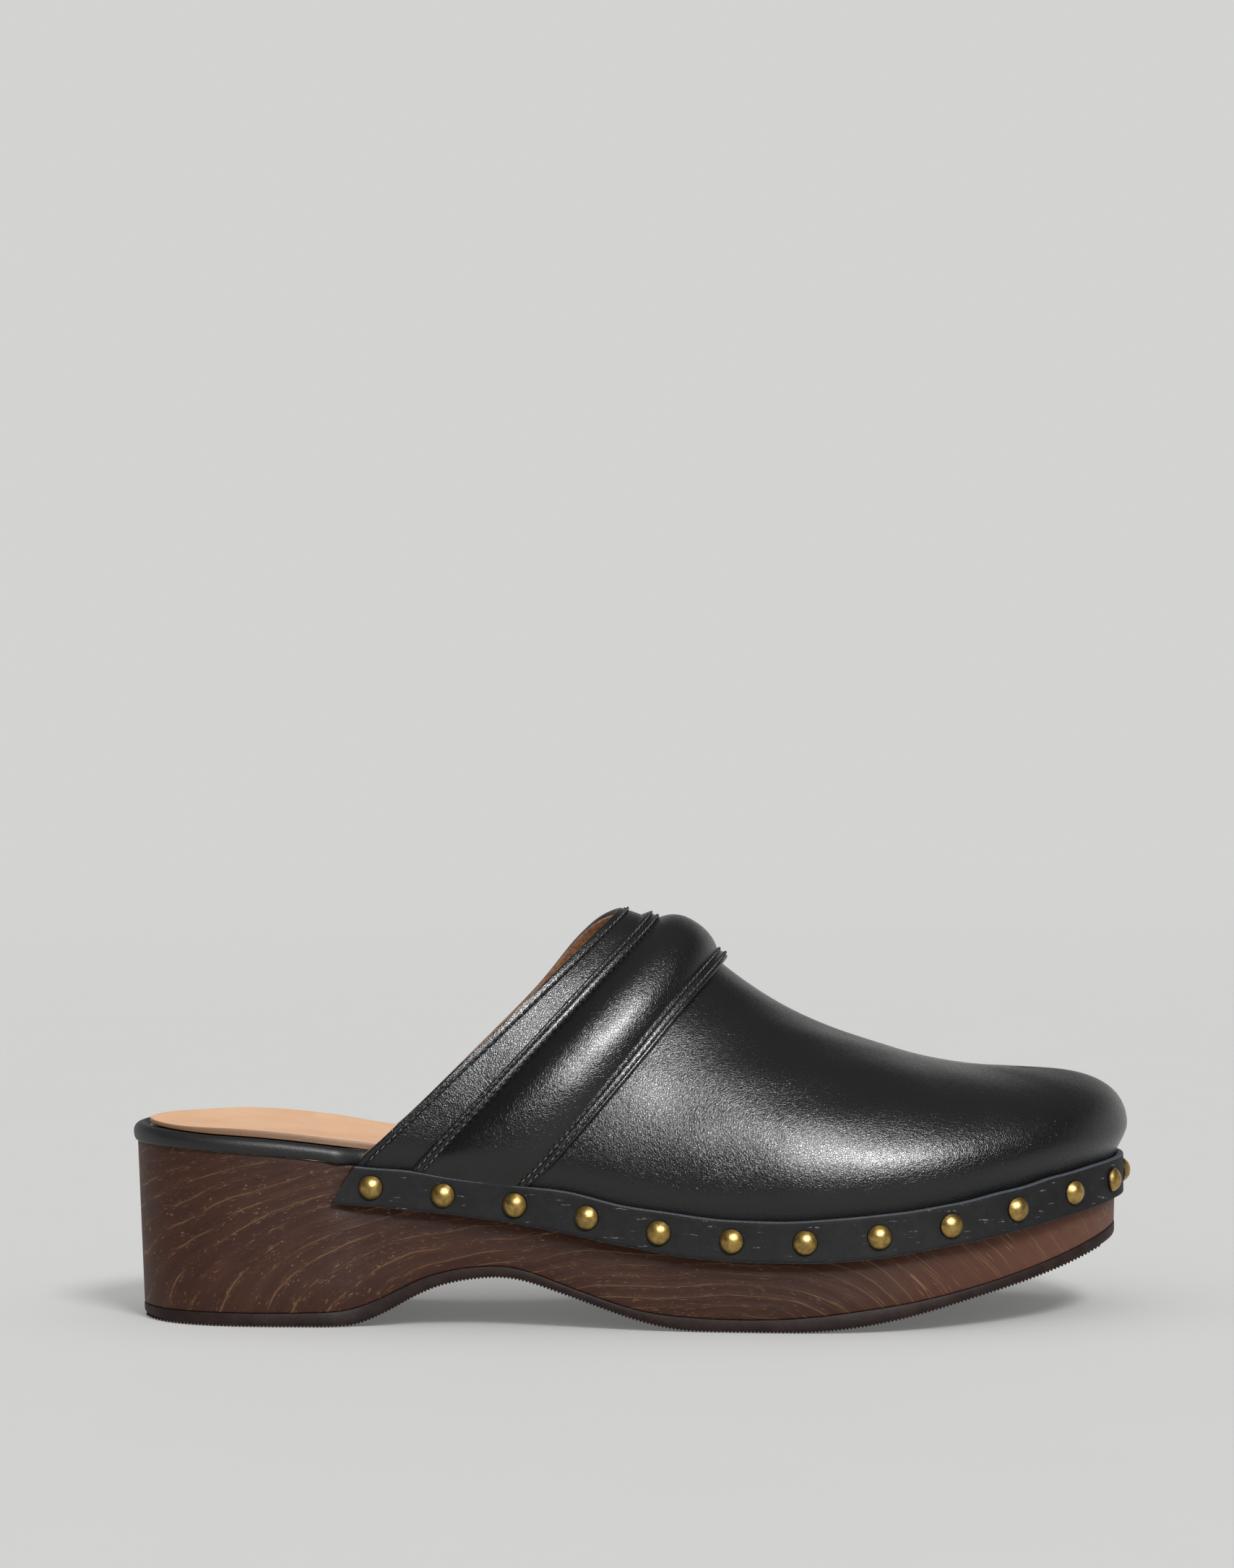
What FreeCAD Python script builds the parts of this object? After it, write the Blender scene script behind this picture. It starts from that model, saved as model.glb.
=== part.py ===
import FreeCAD, Part
import math
import os

os.makedirs("parts", exist_ok=True)

V = FreeCAD.Vector

# Driving dimensions, in mm. +X is the toe, +Y the inner side of the foot, +Z up.
stripThick = 2.0
vampThick = 1.6
liningThick = 0.8
puffThick = 0.6
strapThick = 2.4
strapFootThick = 1.5
padRise = 2.3
rebateInset = 3.8         # plan distance from the strip's outer face to the wood behind it
woodInset = 2.8           # plan distance from the strip's outer face to the wood below it
heelWoodInset = 1.0       # the leather rim overhangs the heel by this much
woodTaper = 1.3
woodToeReach = 1.4        # how much nearer to the strip's face the wood comes at the toe
footbedInset = 5.3
sockInset = 4.2
sockThick = 1.2
wrapThick = 0.9
tacksPerSide = 12
rearTackX = -66.1
toeTackShift = 3.0        # the toe's tack sits this far round to the inner side
tackDomeRadius = 3.25
tackDomeHeight = 2.3
tackShankRadius = 0.8
tackShankLength = 9.0
threadThick = 0.5
threadShare = 0.0016        # half a thread's width, as a share of the upper's length
strapGap = 0.35
flareHeight = 6.5         # height over the strip at which the vamp bulges furthest
medialBow = 3.2           # how far the inner side of the topline bows to the rear
lateralRearX = -70.4      # where the upper starts on the outer and inner side
medialRearX = -67.5
stations = 44
rows = 16
firstArchRow = 5

# The outline of the strip's outer face from above, and of the rim round the heel.
outlineXY = [(-131.2, 0), (-129, -11.5), (-122.5, -21.5), (-110, -28.6), (-95, -31.4), (-72, -32), (-48, -33.8),
             (-22, -37.6), (4, -42), (28, -45.8), (50, -47.8), (68, -46.5), (85, -41.5), (101, -33.3), (115, -22),
             (125, -7.5), (128.9, 8.5), (126.5, 22), (118, 32.5), (106, 38.8), (90, 42.5), (70, 44.5), (48, 43.8),
             (20, 38.5), (-8, 31.8), (-35, 28.3), (-60, 28.3), (-85, 30.6), (-101, 31.2), (-115, 26.8), (-126.5, 14.5)]

# Heights along the shoe, as (x, z).
soleBottomXZ = [(-138, -0.3), (-126, -0.3), (-110, -0.3), (-94, -0.3), (-84, -0.3), (-76, -0.2), (-72.5, 0.1),
                (-69, 0.9), (-65, 2.7), (-61, 4.7), (-57.5, 6.8), (-54, 8.6), (-50, 10.3), (-46, 11.4),
                (-42, 12.2), (-38, 12.7), (-34, 13), (-30, 12.7), (-26, 11.9), (-22, 10.6), (-17, 8.9),
                (-12, 7.2), (-7, 5.4), (-2, 3.7), (3, 2.2), (8, 1), (14, 0.1), (20, -0.3), (26, -0.3),
                (32, -0.3), (38, -0.3), (44, -0.1), (50, 0.35), (57, 1.1), (64, 2.2), (71, 3.6), (79, 5.5),
                (86, 7.4), (94, 9.3), (101, 11), (109, 13.3), (117, 15.9), (125, 18.6), (138, 22.9)]
woodBottomXZ = [(-138, 3.5), (-122, 3.5), (-106, 3.5), (-91, 3.5), (-76, 3.8), (-72.5, 4.3), (-69, 5.3),
                (-65, 6.9), (-61, 8.8), (-57.5, 10.6), (-54, 12.3), (-50, 13.7), (-46, 14.7), (-42, 15.4),
                (-38, 15.8), (-34, 16), (-30, 15.6), (-26, 14.7), (-22, 13.3), (-17, 11.4), (-12, 9.6),
                (-7, 7.9), (-2, 6.3), (3, 5), (8, 4.2), (14, 3.7), (20, 3.4), (27, 3.2), (35, 3.3), (42, 3.6),
                (50, 4.4), (60, 5.7), (71, 7.2), (79, 8.7), (86, 10.2), (94, 12.1), (101, 14), (109, 16.4),
                (117, 19.2), (125, 22), (138, 26.6)]
woodTopXZ = [(-138, 46.1), (-122, 46.1), (-113, 45.7), (-98, 44.9), (-90, 44.3), (-83, 43.6), (-76, 42.7),
             (-70, 41.5), (-64, 40.7), (-57, 39.9), (-50, 38.9), (-42, 37.9), (-31, 36.7), (-20, 35.7),
             (-12, 34.3), (-5, 32.6), (2, 31.2), (9, 30.1), (17, 29.2), (24, 28.6), (31, 28.3), (42, 28.2),
             (50, 28.5), (60, 29.4), (68, 30), (75, 30.8), (82, 31.8), (90, 33), (97, 34.6), (105, 36.1),
             (112, 37.4), (120, 38.4), (138, 39.6)]
footbedTopXZ = [(-138, 52), (-124, 51.8), (-118, 51.2), (-109, 50.6), (-102, 50.3), (-94, 49.8), (-86, 49),
                (-79, 48.2), (-72, 47.2), (-64, 46), (-57, 45), (-50, 43.8), (-42, 42.7), (-31, 41.4),
                (-20, 40.2), (-12, 38.8), (-5, 37.1), (2, 35.6), (9, 34.4), (17, 33.4), (24, 32.8),
                (31, 32.5), (42, 32.4), (50, 32.6), (60, 33.5), (68, 34.1), (75, 34.9), (82, 35.9),
                (90, 37.1), (97, 38.7), (105, 40.2), (112, 41.5), (120, 42.5), (138, 43.6)]
stripTopXZ = [(-82, 42.9), (-76, 42.5), (-70.6, 42), (-64.7, 41.3), (-57, 40.7), (-50, 39.6), (-42, 38.5),
              (-31, 37.4), (-20, 36.4), (-12.7, 35.1), (-5.4, 33.4), (2, 32), (9.3, 30.9), (16.7, 30),
              (24, 29.3), (31, 29), (42, 28.9), (49.6, 29.2), (60.5, 30.1), (67.8, 30.8), (75, 31.6),
              (82.4, 32.6), (89.8, 33.9), (97.2, 35.4), (104.8, 37), (112.4, 38.3), (120.2, 39.3), (138, 41)]
stripBottomXZ = [(-82, 32.6), (-76, 32.2), (-72.2, 31.8), (-64.8, 31.3), (-57.3, 30.8), (-50, 30.1),
                 (-42.5, 29.2), (-35, 28.2), (-24, 26.5), (-16.5, 25.3), (-9.1, 23.7), (1.9, 21.4),
                 (9.3, 20.2), (16.6, 19.3), (23.9, 18.8), (31.2, 18.4), (38.5, 18.3), (45.8, 18.4),
                 (53.1, 18.7), (60.4, 19.2), (67.7, 19.9), (75, 20.9), (82.4, 22), (89.8, 23.2),
                 (97.2, 24.5), (104.7, 25.9), (112.3, 27.4), (120.2, 28.7), (138, 31)]
ridgeXZ = [(-3.2, 105.3), (3, 103.2), (12, 98.3), (20, 92.9), (27, 87.6), (35, 82.1), (42, 78), (50, 74.4),
           (57, 71.7), (65, 68.9), (72, 66.7), (80, 64.8), (87, 63.7), (95, 63.2), (102, 62.9)]
ridgeRearY, ridgeFrontY = 2.5, 5.0

# Each edge of the instep strap, as shares of the upper's length at the strip and on the ridge.
strapRearShare = (0.041, 0.040)
strapFrontShare = (0.181, 0.262)
strapFirstRow = 2.6


def table(points, x):
    """The height at x on a line through the points."""
    if x <= points[0][0]:
        return points[0][1]
    for (x0, z0), (x1, z1) in zip(points, points[1:]):
        if x <= x1:
            return z0 + (z1 - z0) * (x - x0) / (x1 - x0)
    return points[-1][1]


def ease(t):
    t = max(0.0, min(1.0, t))
    return t * t * (3 - 2 * t)


# Plan outline, and everything inset from it.
outlineCurve = Part.BSplineCurve()
outlineCurve.buildFromPoles([V(x, y, 0) for x, y in outlineXY], True, 3)
outlineEdge = outlineCurve.toShape()
outlinePoints = outlineEdge.discretize(Number=361)[:-1]


def outward(i, points):
    n = len(points)
    along = points[(i + 1) % n] - points[(i - 1) % n]
    return V(along.y, -along.x, 0).normalize()


def planWire(inset, z=0.0):
    """The outline moved in by inset, a number or a function of x, at height z."""
    inset = inset if callable(inset) else (lambda x, d=inset: d)
    moved = []
    for i in range(0, len(outlinePoints), 5):
        p = outlinePoints[i]
        moved.append(p - outward(i, outlinePoints) * inset(p.x) + V(0, 0, z))
    curve = Part.BSplineCurve()
    curve.interpolate(Points=moved, PeriodicFlag=True)
    return Part.Wire([curve.toShape()])


def planSolid(inset, z0=-10.0, z1=130.0):
    return Part.Face(planWire(inset, z0)).extrude(V(0, 0, z1 - z0))


def lineEdge(points):
    curve = Part.BSplineCurve()
    curve.buildFromPoles([V(x, -70, z) for x, z in points], False, 3)
    return curve.toShape()


def between(lowLine, highLine):
    """The space right across the shoe over one line of heights and under another."""
    low, high = lineEdge(lowLine), lineEdge(highLine)
    ends = [Part.makeLine(V(lowLine[k][0], -70, lowLine[k][1]), V(highLine[k][0], -70, highLine[k][1]))
            for k in (0, -1)]
    return Part.Face(Part.Wire(Part.__sortEdges__([low, ends[1], high, ends[0]]))).extrude(V(0, 140, 0))


def largest(shape):
    return max(shape.Solids, key=lambda s: s.Volume)


# Surfaces from nets of control points, so that neighbours share their edges exactly.
def knotsFor(count, degree):
    spans = count - degree
    return [float(k) for k in range(spans + 1)], [degree + 1] + [1] * (spans - 1) + [degree + 1]


def netFace(net):
    du, dv = min(3, len(net) - 1), min(3, len(net[0]) - 1)
    ku, mu = knotsFor(len(net), du)
    kv, mv = knotsFor(len(net[0]), dv)
    surface = Part.BSplineSurface()
    surface.buildFromPolesMultsKnots(net, mu, mv, ku, kv, False, False, du, dv)
    return surface.toShape()


def closedSolid(faces, tolerance=0.001):
    shell = Part.makeShell(faces)
    shell.sewShape(tolerance)
    solid = Part.makeSolid(shell.Shells[0] if shell.Shells else shell)
    if solid.Volume < 0:
        solid.reverse()
    return solid


def slabSolid(outer, inner):
    """The solid between two nets with the same layout."""
    turned = [list(c) for c in zip(*outer)], [list(c) for c in zip(*inner)]
    rims = [netFace([outer[k], inner[k]]) for k in (0, -1)]
    rims += [netFace([turned[0][k], turned[1][k]]) for k in (0, -1)]
    return closedSolid([netFace(outer), netFace(inner)] + rims)


# Rails of the upper: along the strip on each side, and along the ridge.
def railFrom(points, startX, step):
    """Outline points from startX round to the tip of the toe, as (point, outward) pairs."""
    tip = max(range(len(points)), key=lambda i: points[i].x)
    i, rail = tip, []
    while points[i].x > startX or not rail:
        rail.append((points[i], outward(i, points)))
        i = (i - step) % len(points)
    rail.append((points[i], outward(i, points)))
    return rail[::-1]


def railAt(rail, share):
    """The point and direction a share of the way along a rail."""
    at = max(0.0, min(1.0, share)) * (len(rail) - 1)
    i = min(int(at), len(rail) - 2)
    t = at - i
    (p0, n0), (p1, n1) = rail[i], rail[i + 1]
    return p0 + (p1 - p0) * t, (n0 * (1 - t) + n1 * t).normalize()


lateralRail = railFrom(outlinePoints, lateralRearX, 1)
medialRail = railFrom(outlinePoints, medialRearX, -1)
ridgeCurve = Part.BSplineCurve()
ridgeSpan = ridgeXZ[-1][0] - ridgeXZ[0][0]
ridgeCurve.interpolate(Points=[V(x, ridgeRearY + (ridgeFrontY - ridgeRearY) * (x - ridgeXZ[0][0]) / ridgeSpan, z)
                               for x, z in ridgeXZ])
ridgePoints = ridgeCurve.toShape().discretize(Number=201)


def ridgeAt(share):
    at = max(0.0, min(1.0, share)) * 200
    i = min(int(at), 199)
    step = ridgePoints[i + 1] - ridgePoints[i]
    return ridgePoints[i] + step * (at - i), step.z / step.x


def upperPoint(side, share, row):
    """A point on the vamp's outside: share runs from its rear edge to the toe, row from its hem to the ridge."""
    base, out = railAt(lateralRail if side < 0 else medialRail, share)
    top, slope = ridgeAt(share)
    low, high = table(stripBottomXZ, base.x), table(stripTopXZ, base.x)
    lean = 1 - ease((base.x - 5) / 60)          # behind the ball the sections lean back with the topline
    bulge = 0.2 + 0.9 * ease((share - 0.75) / 0.25)
    hem = [(low + 0.8, 2.15), ((low + high) / 2, 2.15), (high - 1.5, 2.15), (high + 0.8, 1.9),
           (high + 3.4, 0.9 - 0.5 * bulge), (high + flareHeight, -bulge)]

    def hemPoint(k):
        z, inset = hem[k]
        rise = max(0.0, z - high) / (top.z - high)
        p = base - out * inset
        return V(p.x + (top.x - base.x) * lean * rise, p.y, z)

    if row < firstArchRow:
        k = int(row)
        return hemPoint(k) * (1 - (row - k)) + hemPoint(k + 1) * (row - k)
    start = hemPoint(firstArchRow)
    t = (row - firstArchRow) / (rows - firstArchRow)
    toeness = ease((share - 0.55) / 0.45)
    wall = 0.52 + 0.17 * toeness
    crown = 0.52 + 0.14 * toeness
    run = (start.x - top.x) * (1 - lean) * crown
    p1 = start + V((top.x - start.x) * lean * wall, 0, (top.z - start.z) * wall)
    p2 = top + V(run, (start.y - top.y) * crown, run * slope)
    bow = medialBow * (1 - share) ** 5 * ease(t / 0.6) * (1 - ease((t - 0.72) / 0.28)) if side > 0 else 0.0
    return (start * (1 - t) ** 3 + p1 * (3 * t * (1 - t) ** 2) + p2 * (3 * t * t * (1 - t)) + top * t ** 3
            - V(bow, 0, 0))


def upperNormal(side, share, row):
    if row > rows - 0.001:
        return V(-ridgeAt(share)[1], 0, 1).normalize()
    h = 0.004
    alongA, alongB = max(0.0, share - h), min(1.0, share + h)
    upA, upB = max(0.0, row - 0.25), min(float(rows), row + 0.25)
    along = upperPoint(side, alongB, row) - upperPoint(side, alongA, row)
    up = upperPoint(side, share, upB) - upperPoint(side, share, upA)
    return (along.cross(up) * -side).normalize()


def skinPoint(side, share, row, rise):
    """A point off the vamp's outside by rise, the same from both sides on the ridge and at the toe."""
    n = upperNormal(side, share, row)
    if share > 0.999:
        n = (n + upperNormal(-side, share, row)).normalize()
    return upperPoint(side, share, row) + n * rise


def upperSkin(outerRise, innerRise, firstRow=0, firstShare=0.0):
    """A skin over the whole upper between two offsets from the vamp's outside."""
    faces = []
    for side in (-1, 1):
        nets = []
        for rise in (outerRise, innerRise):
            nets.append([[skinPoint(side, firstShare + (1 - firstShare) * i / stations, row, rise)
                          for row in range(firstRow, rows + 1)] for i in range(stations + 1)])
        outer, inner = nets
        faces += [netFace(outer), netFace(inner), netFace([outer[0], inner[0]]),
                  netFace([[r[0] for r in outer], [r[0] for r in inner]])]
    return closedSolid(faces)


# Sole
def stepInset(heel, fore, rearX=-80.0, frontX=-68.0):
    return lambda x: heel + (fore - heel) * ease((x - rearX) / (frontX - rearX))


def woodOutline(x):
    return stepInset(heelWoodInset, woodInset)(x) - woodToeReach * ease((x - 100) / 25)


def makeWood(tackShanks):
    taper = lambda x: woodOutline(x) + woodTaper
    block = Part.makeLoft([planWire(taper, -2.0), planWire(woodOutline, 50.0)], True, True)
    wood = block.common(between(woodBottomXZ, woodTopXZ))
    ring = stripZone(60.0).cut(planSolid(rebateInset))
    return largest(wood.cut(ring).cut(tackShanks))


def makeOutsole():
    """The rubber sole, cut flat under the heel and the ball where it stands on the ground."""
    block = planSolid(lambda x: woodOutline(x) + woodTaper - 0.1, 0.0, 40.0)
    return largest(block.common(between(soleBottomXZ, woodBottomXZ)))


# Strip
def stripZone(topZ=None):
    """The zone of the strip seen from the side, right across the shoe, with its slanted rear ends."""
    line = [(x, topZ) for x, _ in stripTopXZ] if topZ else stripTopXZ
    zone = between(stripBottomXZ, line)
    corner = Part.makePolygon([V(-140, -80, 20), V(-76.5, -80, 20), V(-76.5, -80, 31), V(-70.2, -80, 42.6),
                               V(-70.2, -80, 70), V(-140, -80, 70), V(-140, -80, 20)])
    return zone.cut(Part.Face(corner).extrude(V(0, 160, 0)))


def makeStrip(tackShanks):
    ring = planSolid(0.0).cut(planSolid(stripThick))
    return largest(ring.common(stripZone()).cut(tackShanks))


# Footbed
def lowered(points, drop):
    return [(x, z - drop) for x, z in points]


def makeFootbed():
    outline = stepInset(0.0, footbedInset, -76.0, -66.0)
    body = largest(planSolid(outline).common(between(woodTopXZ, lowered(footbedTopXZ, sockThick))))
    coreBlock = planSolid(lambda x: outline(x) + wrapThick)
    coreTop = lowered(footbedTopXZ, sockThick + wrapThick)
    core = largest(coreBlock.common(between(woodTopXZ, coreTop)))
    hollow = coreBlock.common(between(lowered(woodTopXZ, 3.0), coreTop))
    return largest(body.cut(hollow)), core


def makeSock():
    outline = stepInset(sockInset, footbedInset + 1.2, -80.0, -66.0)
    return largest(planSolid(outline).common(between(lowered(footbedTopXZ, sockThick), footbedTopXZ)))


# Strap over the instep
def strapShare(row, across):
    t = (row - strapFirstRow) / (rows - strapFirstRow)
    rear = strapRearShare[0] + (strapRearShare[1] - strapRearShare[0]) * t
    front = strapFrontShare[0] + (strapFrontShare[1] - strapFrontShare[0]) * t
    return rear + (front - rear) * across


def strapRows(first):
    span = rows - first
    up = [first + span * k / 15.0 for k in range(16)]
    return [(-1, r) for r in up] + [(1, r) for r in up[-2::-1]]


def padding(row, across):
    """How far the strap's padding lifts it at a place."""
    ends = ease((row - strapFirstRow - 0.4) / 3.2)
    edge = ease((min(across, 1 - across) - 0.17) / 0.2)
    return padRise * ends * edge


def strapNet(rise, acrossStops, first=strapFirstRow):
    return [[skinPoint(side, strapShare(row, a), row, rise(row, a)) for side, row in strapRows(first)]
            for a in acrossStops]


def strapLeather(row):
    return strapFootThick + (strapThick - strapFootThick) * ease((row - strapFirstRow) / 4)


def makeStrap():
    stops = [k / 14.0 for k in range(15)]
    outer = strapNet(lambda r, a: strapGap + strapLeather(r) + padding(r, a), stops)
    inner = strapNet(lambda r, a: strapGap + padding(r, a), stops)
    foamStops = [0.25 + 0.5 * k / 8.0 for k in range(9)]
    foamTop = strapNet(lambda r, a: strapGap + max(0.35, padding(r, a) - 0.15), foamStops, strapFirstRow + 2)
    foamLow = strapNet(lambda r, a: 0.2, foamStops, strapFirstRow + 2)
    return slabSolid(outer, inner), slabSolid(foamTop, foamLow)


# Seams: each is a flat thread laid on the leather
def threadAlong(shareAt, liftAt, firstRow):
    """A thread over the upper, where shareAt and liftAt give its place for each row."""
    nets = []
    for height in (threadThick, 0.0):
        nets.append([[skinPoint(side, shareAt(row) + offset, row, liftAt(row) + 0.03 + height)
                      for side, row in strapRows(firstRow)] for offset in (-threadShare, threadShare)])
    return slabSolid(*nets)


def strapThread(across):
    return threadAlong(lambda row: strapShare(row, across),
                       lambda row: strapGap + strapLeather(row) + padding(row, across), 3.2)


# Tacks
def tackSpots():
    """Places on the strip's outer face: outer side, toe and inner side, as (point, outward)."""
    dense = outlineEdge.discretize(Number=2001)[:-1]
    n = len(dense)
    tip = max(range(n), key=lambda i: dense[i].x)
    toeSteps = int(round(toeTackShift / (dense[1] - dense[0]).Length))
    spots = {"tacks_outer_side": [], "tack_toe": [tip + toeSteps], "tacks_inner_side": []}
    for name, step in (("tacks_outer_side", -1), ("tacks_inner_side", 1)):
        count = 0
        while dense[(tip + step * count) % n].x > rearTackX:
            count += 1
        for k in range(1, tacksPerSide + 1):
            moved = toeSteps * (1 - k / tacksPerSide) ** 3
            spots[name].append((tip + int(round(step * count * k / tacksPerSide + moved))) % n)

    def spot(i):
        p = dense[i]
        return V(p.x, p.y, (table(stripTopXZ, p.x) + table(stripBottomXZ, p.x)) / 2), outward(i, dense)
    return {name: [spot(i) for i in found] for name, found in spots.items()}


def makeTack(place, out):
    r, h = tackDomeRadius, tackDomeHeight
    ball = (r * r + h * h) / (2 * h)
    half = (math.asin((ball - h) / ball) + math.pi / 2) / 2
    crown = Part.Arc(V(r, 0, 0), V(ball * math.cos(half), 0, h - ball + ball * math.sin(half)), V(0, 0, h)).toShape()
    foot = Part.makePolygon([V(0, 0, h), V(0, 0, -tackShankLength), V(tackShankRadius * 0.4, 0, -tackShankLength),
                             V(tackShankRadius, 0, -tackShankLength + 3), V(tackShankRadius, 0, 0), V(r, 0, 0)])
    half = Part.Face(Part.Wire([crown] + foot.Edges))
    tack = half.revolve(V(0, 0, 0), V(0, 0, 1), 360)
    tack.Placement = FreeCAD.Placement(place, FreeCAD.Rotation(V(0, 0, 1), out))
    return tack


def makeShank(place, out):
    return Part.makeCylinder(tackShankRadius + 0.03, tackShankLength + 1, place + out * 0.5, out * -1)


parts = {}
spots = tackSpots()
shanks = Part.makeCompound([makeShank(p, n) for group in spots.values() for p, n in group])
parts["wood_sole"] = makeWood(shanks)
parts["rubber_outsole"] = makeOutsole()
parts["welt_strip"] = makeStrip(shanks)
parts["footbed_wrap"], parts["footbed_core"] = makeFootbed()
parts["sock_lining"] = makeSock()
parts["vamp"] = upperSkin(0.0, -vampThick)
parts["toe_puff"] = upperSkin(-vampThick - 0.1, -vampThick - 0.1 - puffThick, 3, 0.66)
parts["vamp_lining"] = upperSkin(-vampThick - puffThick - 0.25, -vampThick - puffThick - 0.25 - liningThick, 3)
parts["instep_strap"], parts["strap_padding"] = makeStrap()
parts["topline_thread"] = threadAlong(lambda row: 0.0115, lambda row: 0.0, 3.4)
parts["strap_rear_threads"] = Part.makeCompound([strapThread(0.055), strapThread(0.135)])
parts["strap_front_threads"] = Part.makeCompound([strapThread(0.865), strapThread(0.945)])
for name, group in spots.items():
    tacks = [makeTack(p, n) for p, n in group]
    parts[name] = tacks[0] if len(tacks) == 1 else Part.makeCompound(tacks)

def meshBox(shape):
    """Lowest and highest corner of the shape's mesh."""
    points = shape.tessellate(0.05)[0]
    return [min(p[k] for p in points) for k in range(3)], [max(p[k] for p in points) for k in range(3)]


# The frame's origin is the middle of the underside.
low, high = meshBox(Part.makeCompound(list(parts.values())))
shift = V(-(low[0] + high[0]) / 2, -(low[1] + high[1]) / 2, -low[2])
for name, shape in parts.items():
    shape.translate(shift)
    shape.exportStep("parts/%s.step" % name)
    low, high = meshBox(shape)
    print(name, "solids", len(shape.Solids), "valid", shape.isValid(), "volume %.0f" % shape.Volume,
          "from %.1f %.1f %.1f" % tuple(low), "to %.1f %.1f %.1f" % tuple(high))
print("shift %.2f %.2f %.2f" % tuple(shift))
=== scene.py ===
import math

import bmesh
import bpy
import numpy as np
from mathutils import Matrix, Vector


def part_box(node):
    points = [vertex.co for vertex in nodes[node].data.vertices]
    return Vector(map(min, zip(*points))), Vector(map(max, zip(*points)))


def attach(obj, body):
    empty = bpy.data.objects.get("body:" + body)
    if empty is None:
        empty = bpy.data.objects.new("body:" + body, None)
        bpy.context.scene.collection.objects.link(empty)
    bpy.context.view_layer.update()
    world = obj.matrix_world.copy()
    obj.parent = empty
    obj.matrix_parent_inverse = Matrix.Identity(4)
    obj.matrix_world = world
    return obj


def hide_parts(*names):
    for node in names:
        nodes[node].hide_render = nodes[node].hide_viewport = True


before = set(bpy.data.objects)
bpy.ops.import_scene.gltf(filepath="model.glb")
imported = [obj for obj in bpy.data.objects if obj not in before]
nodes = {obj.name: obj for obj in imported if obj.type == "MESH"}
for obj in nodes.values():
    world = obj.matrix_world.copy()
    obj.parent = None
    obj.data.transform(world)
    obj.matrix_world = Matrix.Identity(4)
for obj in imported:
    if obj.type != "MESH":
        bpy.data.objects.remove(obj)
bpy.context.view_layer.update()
print("frame loaded,", len(nodes), "nodes")

# The clog as it was drawn, in mm. +X is the toe, +Y the inner side of the foot, +Z up.
outlineXY = [(-131.2, 0), (-129, -11.5), (-122.5, -21.5), (-110, -28.6), (-95, -31.4), (-72, -32),
             (-48, -33.8), (-22, -37.6), (4, -42), (28, -45.8), (50, -47.8), (68, -46.5), (85, -41.5),
             (101, -33.3), (115, -22), (125, -7.5), (128.9, 8.5), (126.5, 22), (118, 32.5), (106, 38.8),
             (90, 42.5), (70, 44.5), (48, 43.8), (20, 38.5), (-8, 31.8), (-35, 28.3), (-60, 28.3),
             (-85, 30.6), (-101, 31.2), (-115, 26.8), (-126.5, 14.5)]
soleBottomXZ = [(-138, 0), (-126, 0), (-110, 0), (-94, 0), (-84, 0), (-76, 0), (-72.5, 0.1),
                (-69, 0.9), (-65, 2.7), (-61, 4.7), (-57.5, 6.8), (-54, 8.6), (-50, 10.3), (-46, 11.4),
                (-42, 12.2), (-38, 12.7), (-34, 13), (-30, 12.7), (-26, 11.9), (-22, 10.6), (-17, 8.9),
                (-12, 7.2), (-7, 5.4), (-2, 3.7), (3, 2.2), (8, 1), (14, 0.1), (20, 0), (26, 0),
                (32, 0), (38, 0), (44, 0), (50, 0.35), (57, 1.1), (64, 2.2), (71, 3.6), (79, 5.5),
                (86, 7.4), (94, 9.3), (101, 11), (109, 13.3), (117, 15.9), (125, 18.6), (138, 22.9)]
woodBottomXZ = [(-138, 3.5), (-122, 3.5), (-106, 3.5), (-91, 3.5), (-76, 3.8), (-72.5, 4.3), (-69, 5.3),
                (-65, 6.9), (-61, 8.8), (-57.5, 10.6), (-54, 12.3), (-50, 13.7), (-46, 14.7), (-42, 15.4),
                (-38, 15.8), (-34, 16), (-30, 15.6), (-26, 14.7), (-22, 13.3), (-17, 11.4), (-12, 9.6),
                (-7, 7.9), (-2, 6.3), (3, 5), (8, 4.2), (14, 3.7), (20, 3.4), (27, 3.2), (35, 3.3), (42, 3.6),
                (50, 4.4), (60, 5.7), (71, 7.2), (79, 8.7), (86, 10.2), (94, 12.1), (101, 14), (109, 16.4),
                (117, 19.2), (125, 22), (138, 26.6)]
woodTopXZ = [(-138, 46.1), (-122, 46.1), (-113, 45.7), (-98, 44.9), (-90, 44.3), (-83, 43.6), (-76, 42.7),
             (-70, 41.5), (-64, 40.7), (-57, 39.9), (-50, 38.9), (-42, 37.9), (-31, 36.7), (-20, 35.7),
             (-12, 34.3), (-5, 32.6), (2, 31.2), (9, 30.1), (17, 29.2), (24, 28.6), (31, 28.3), (42, 28.2),
             (50, 28.5), (60, 29.4), (68, 30), (75, 30.8), (82, 31.8), (90, 33), (97, 34.6), (105, 36.1),
             (112, 37.4), (120, 38.4), (138, 39.6)]
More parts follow.
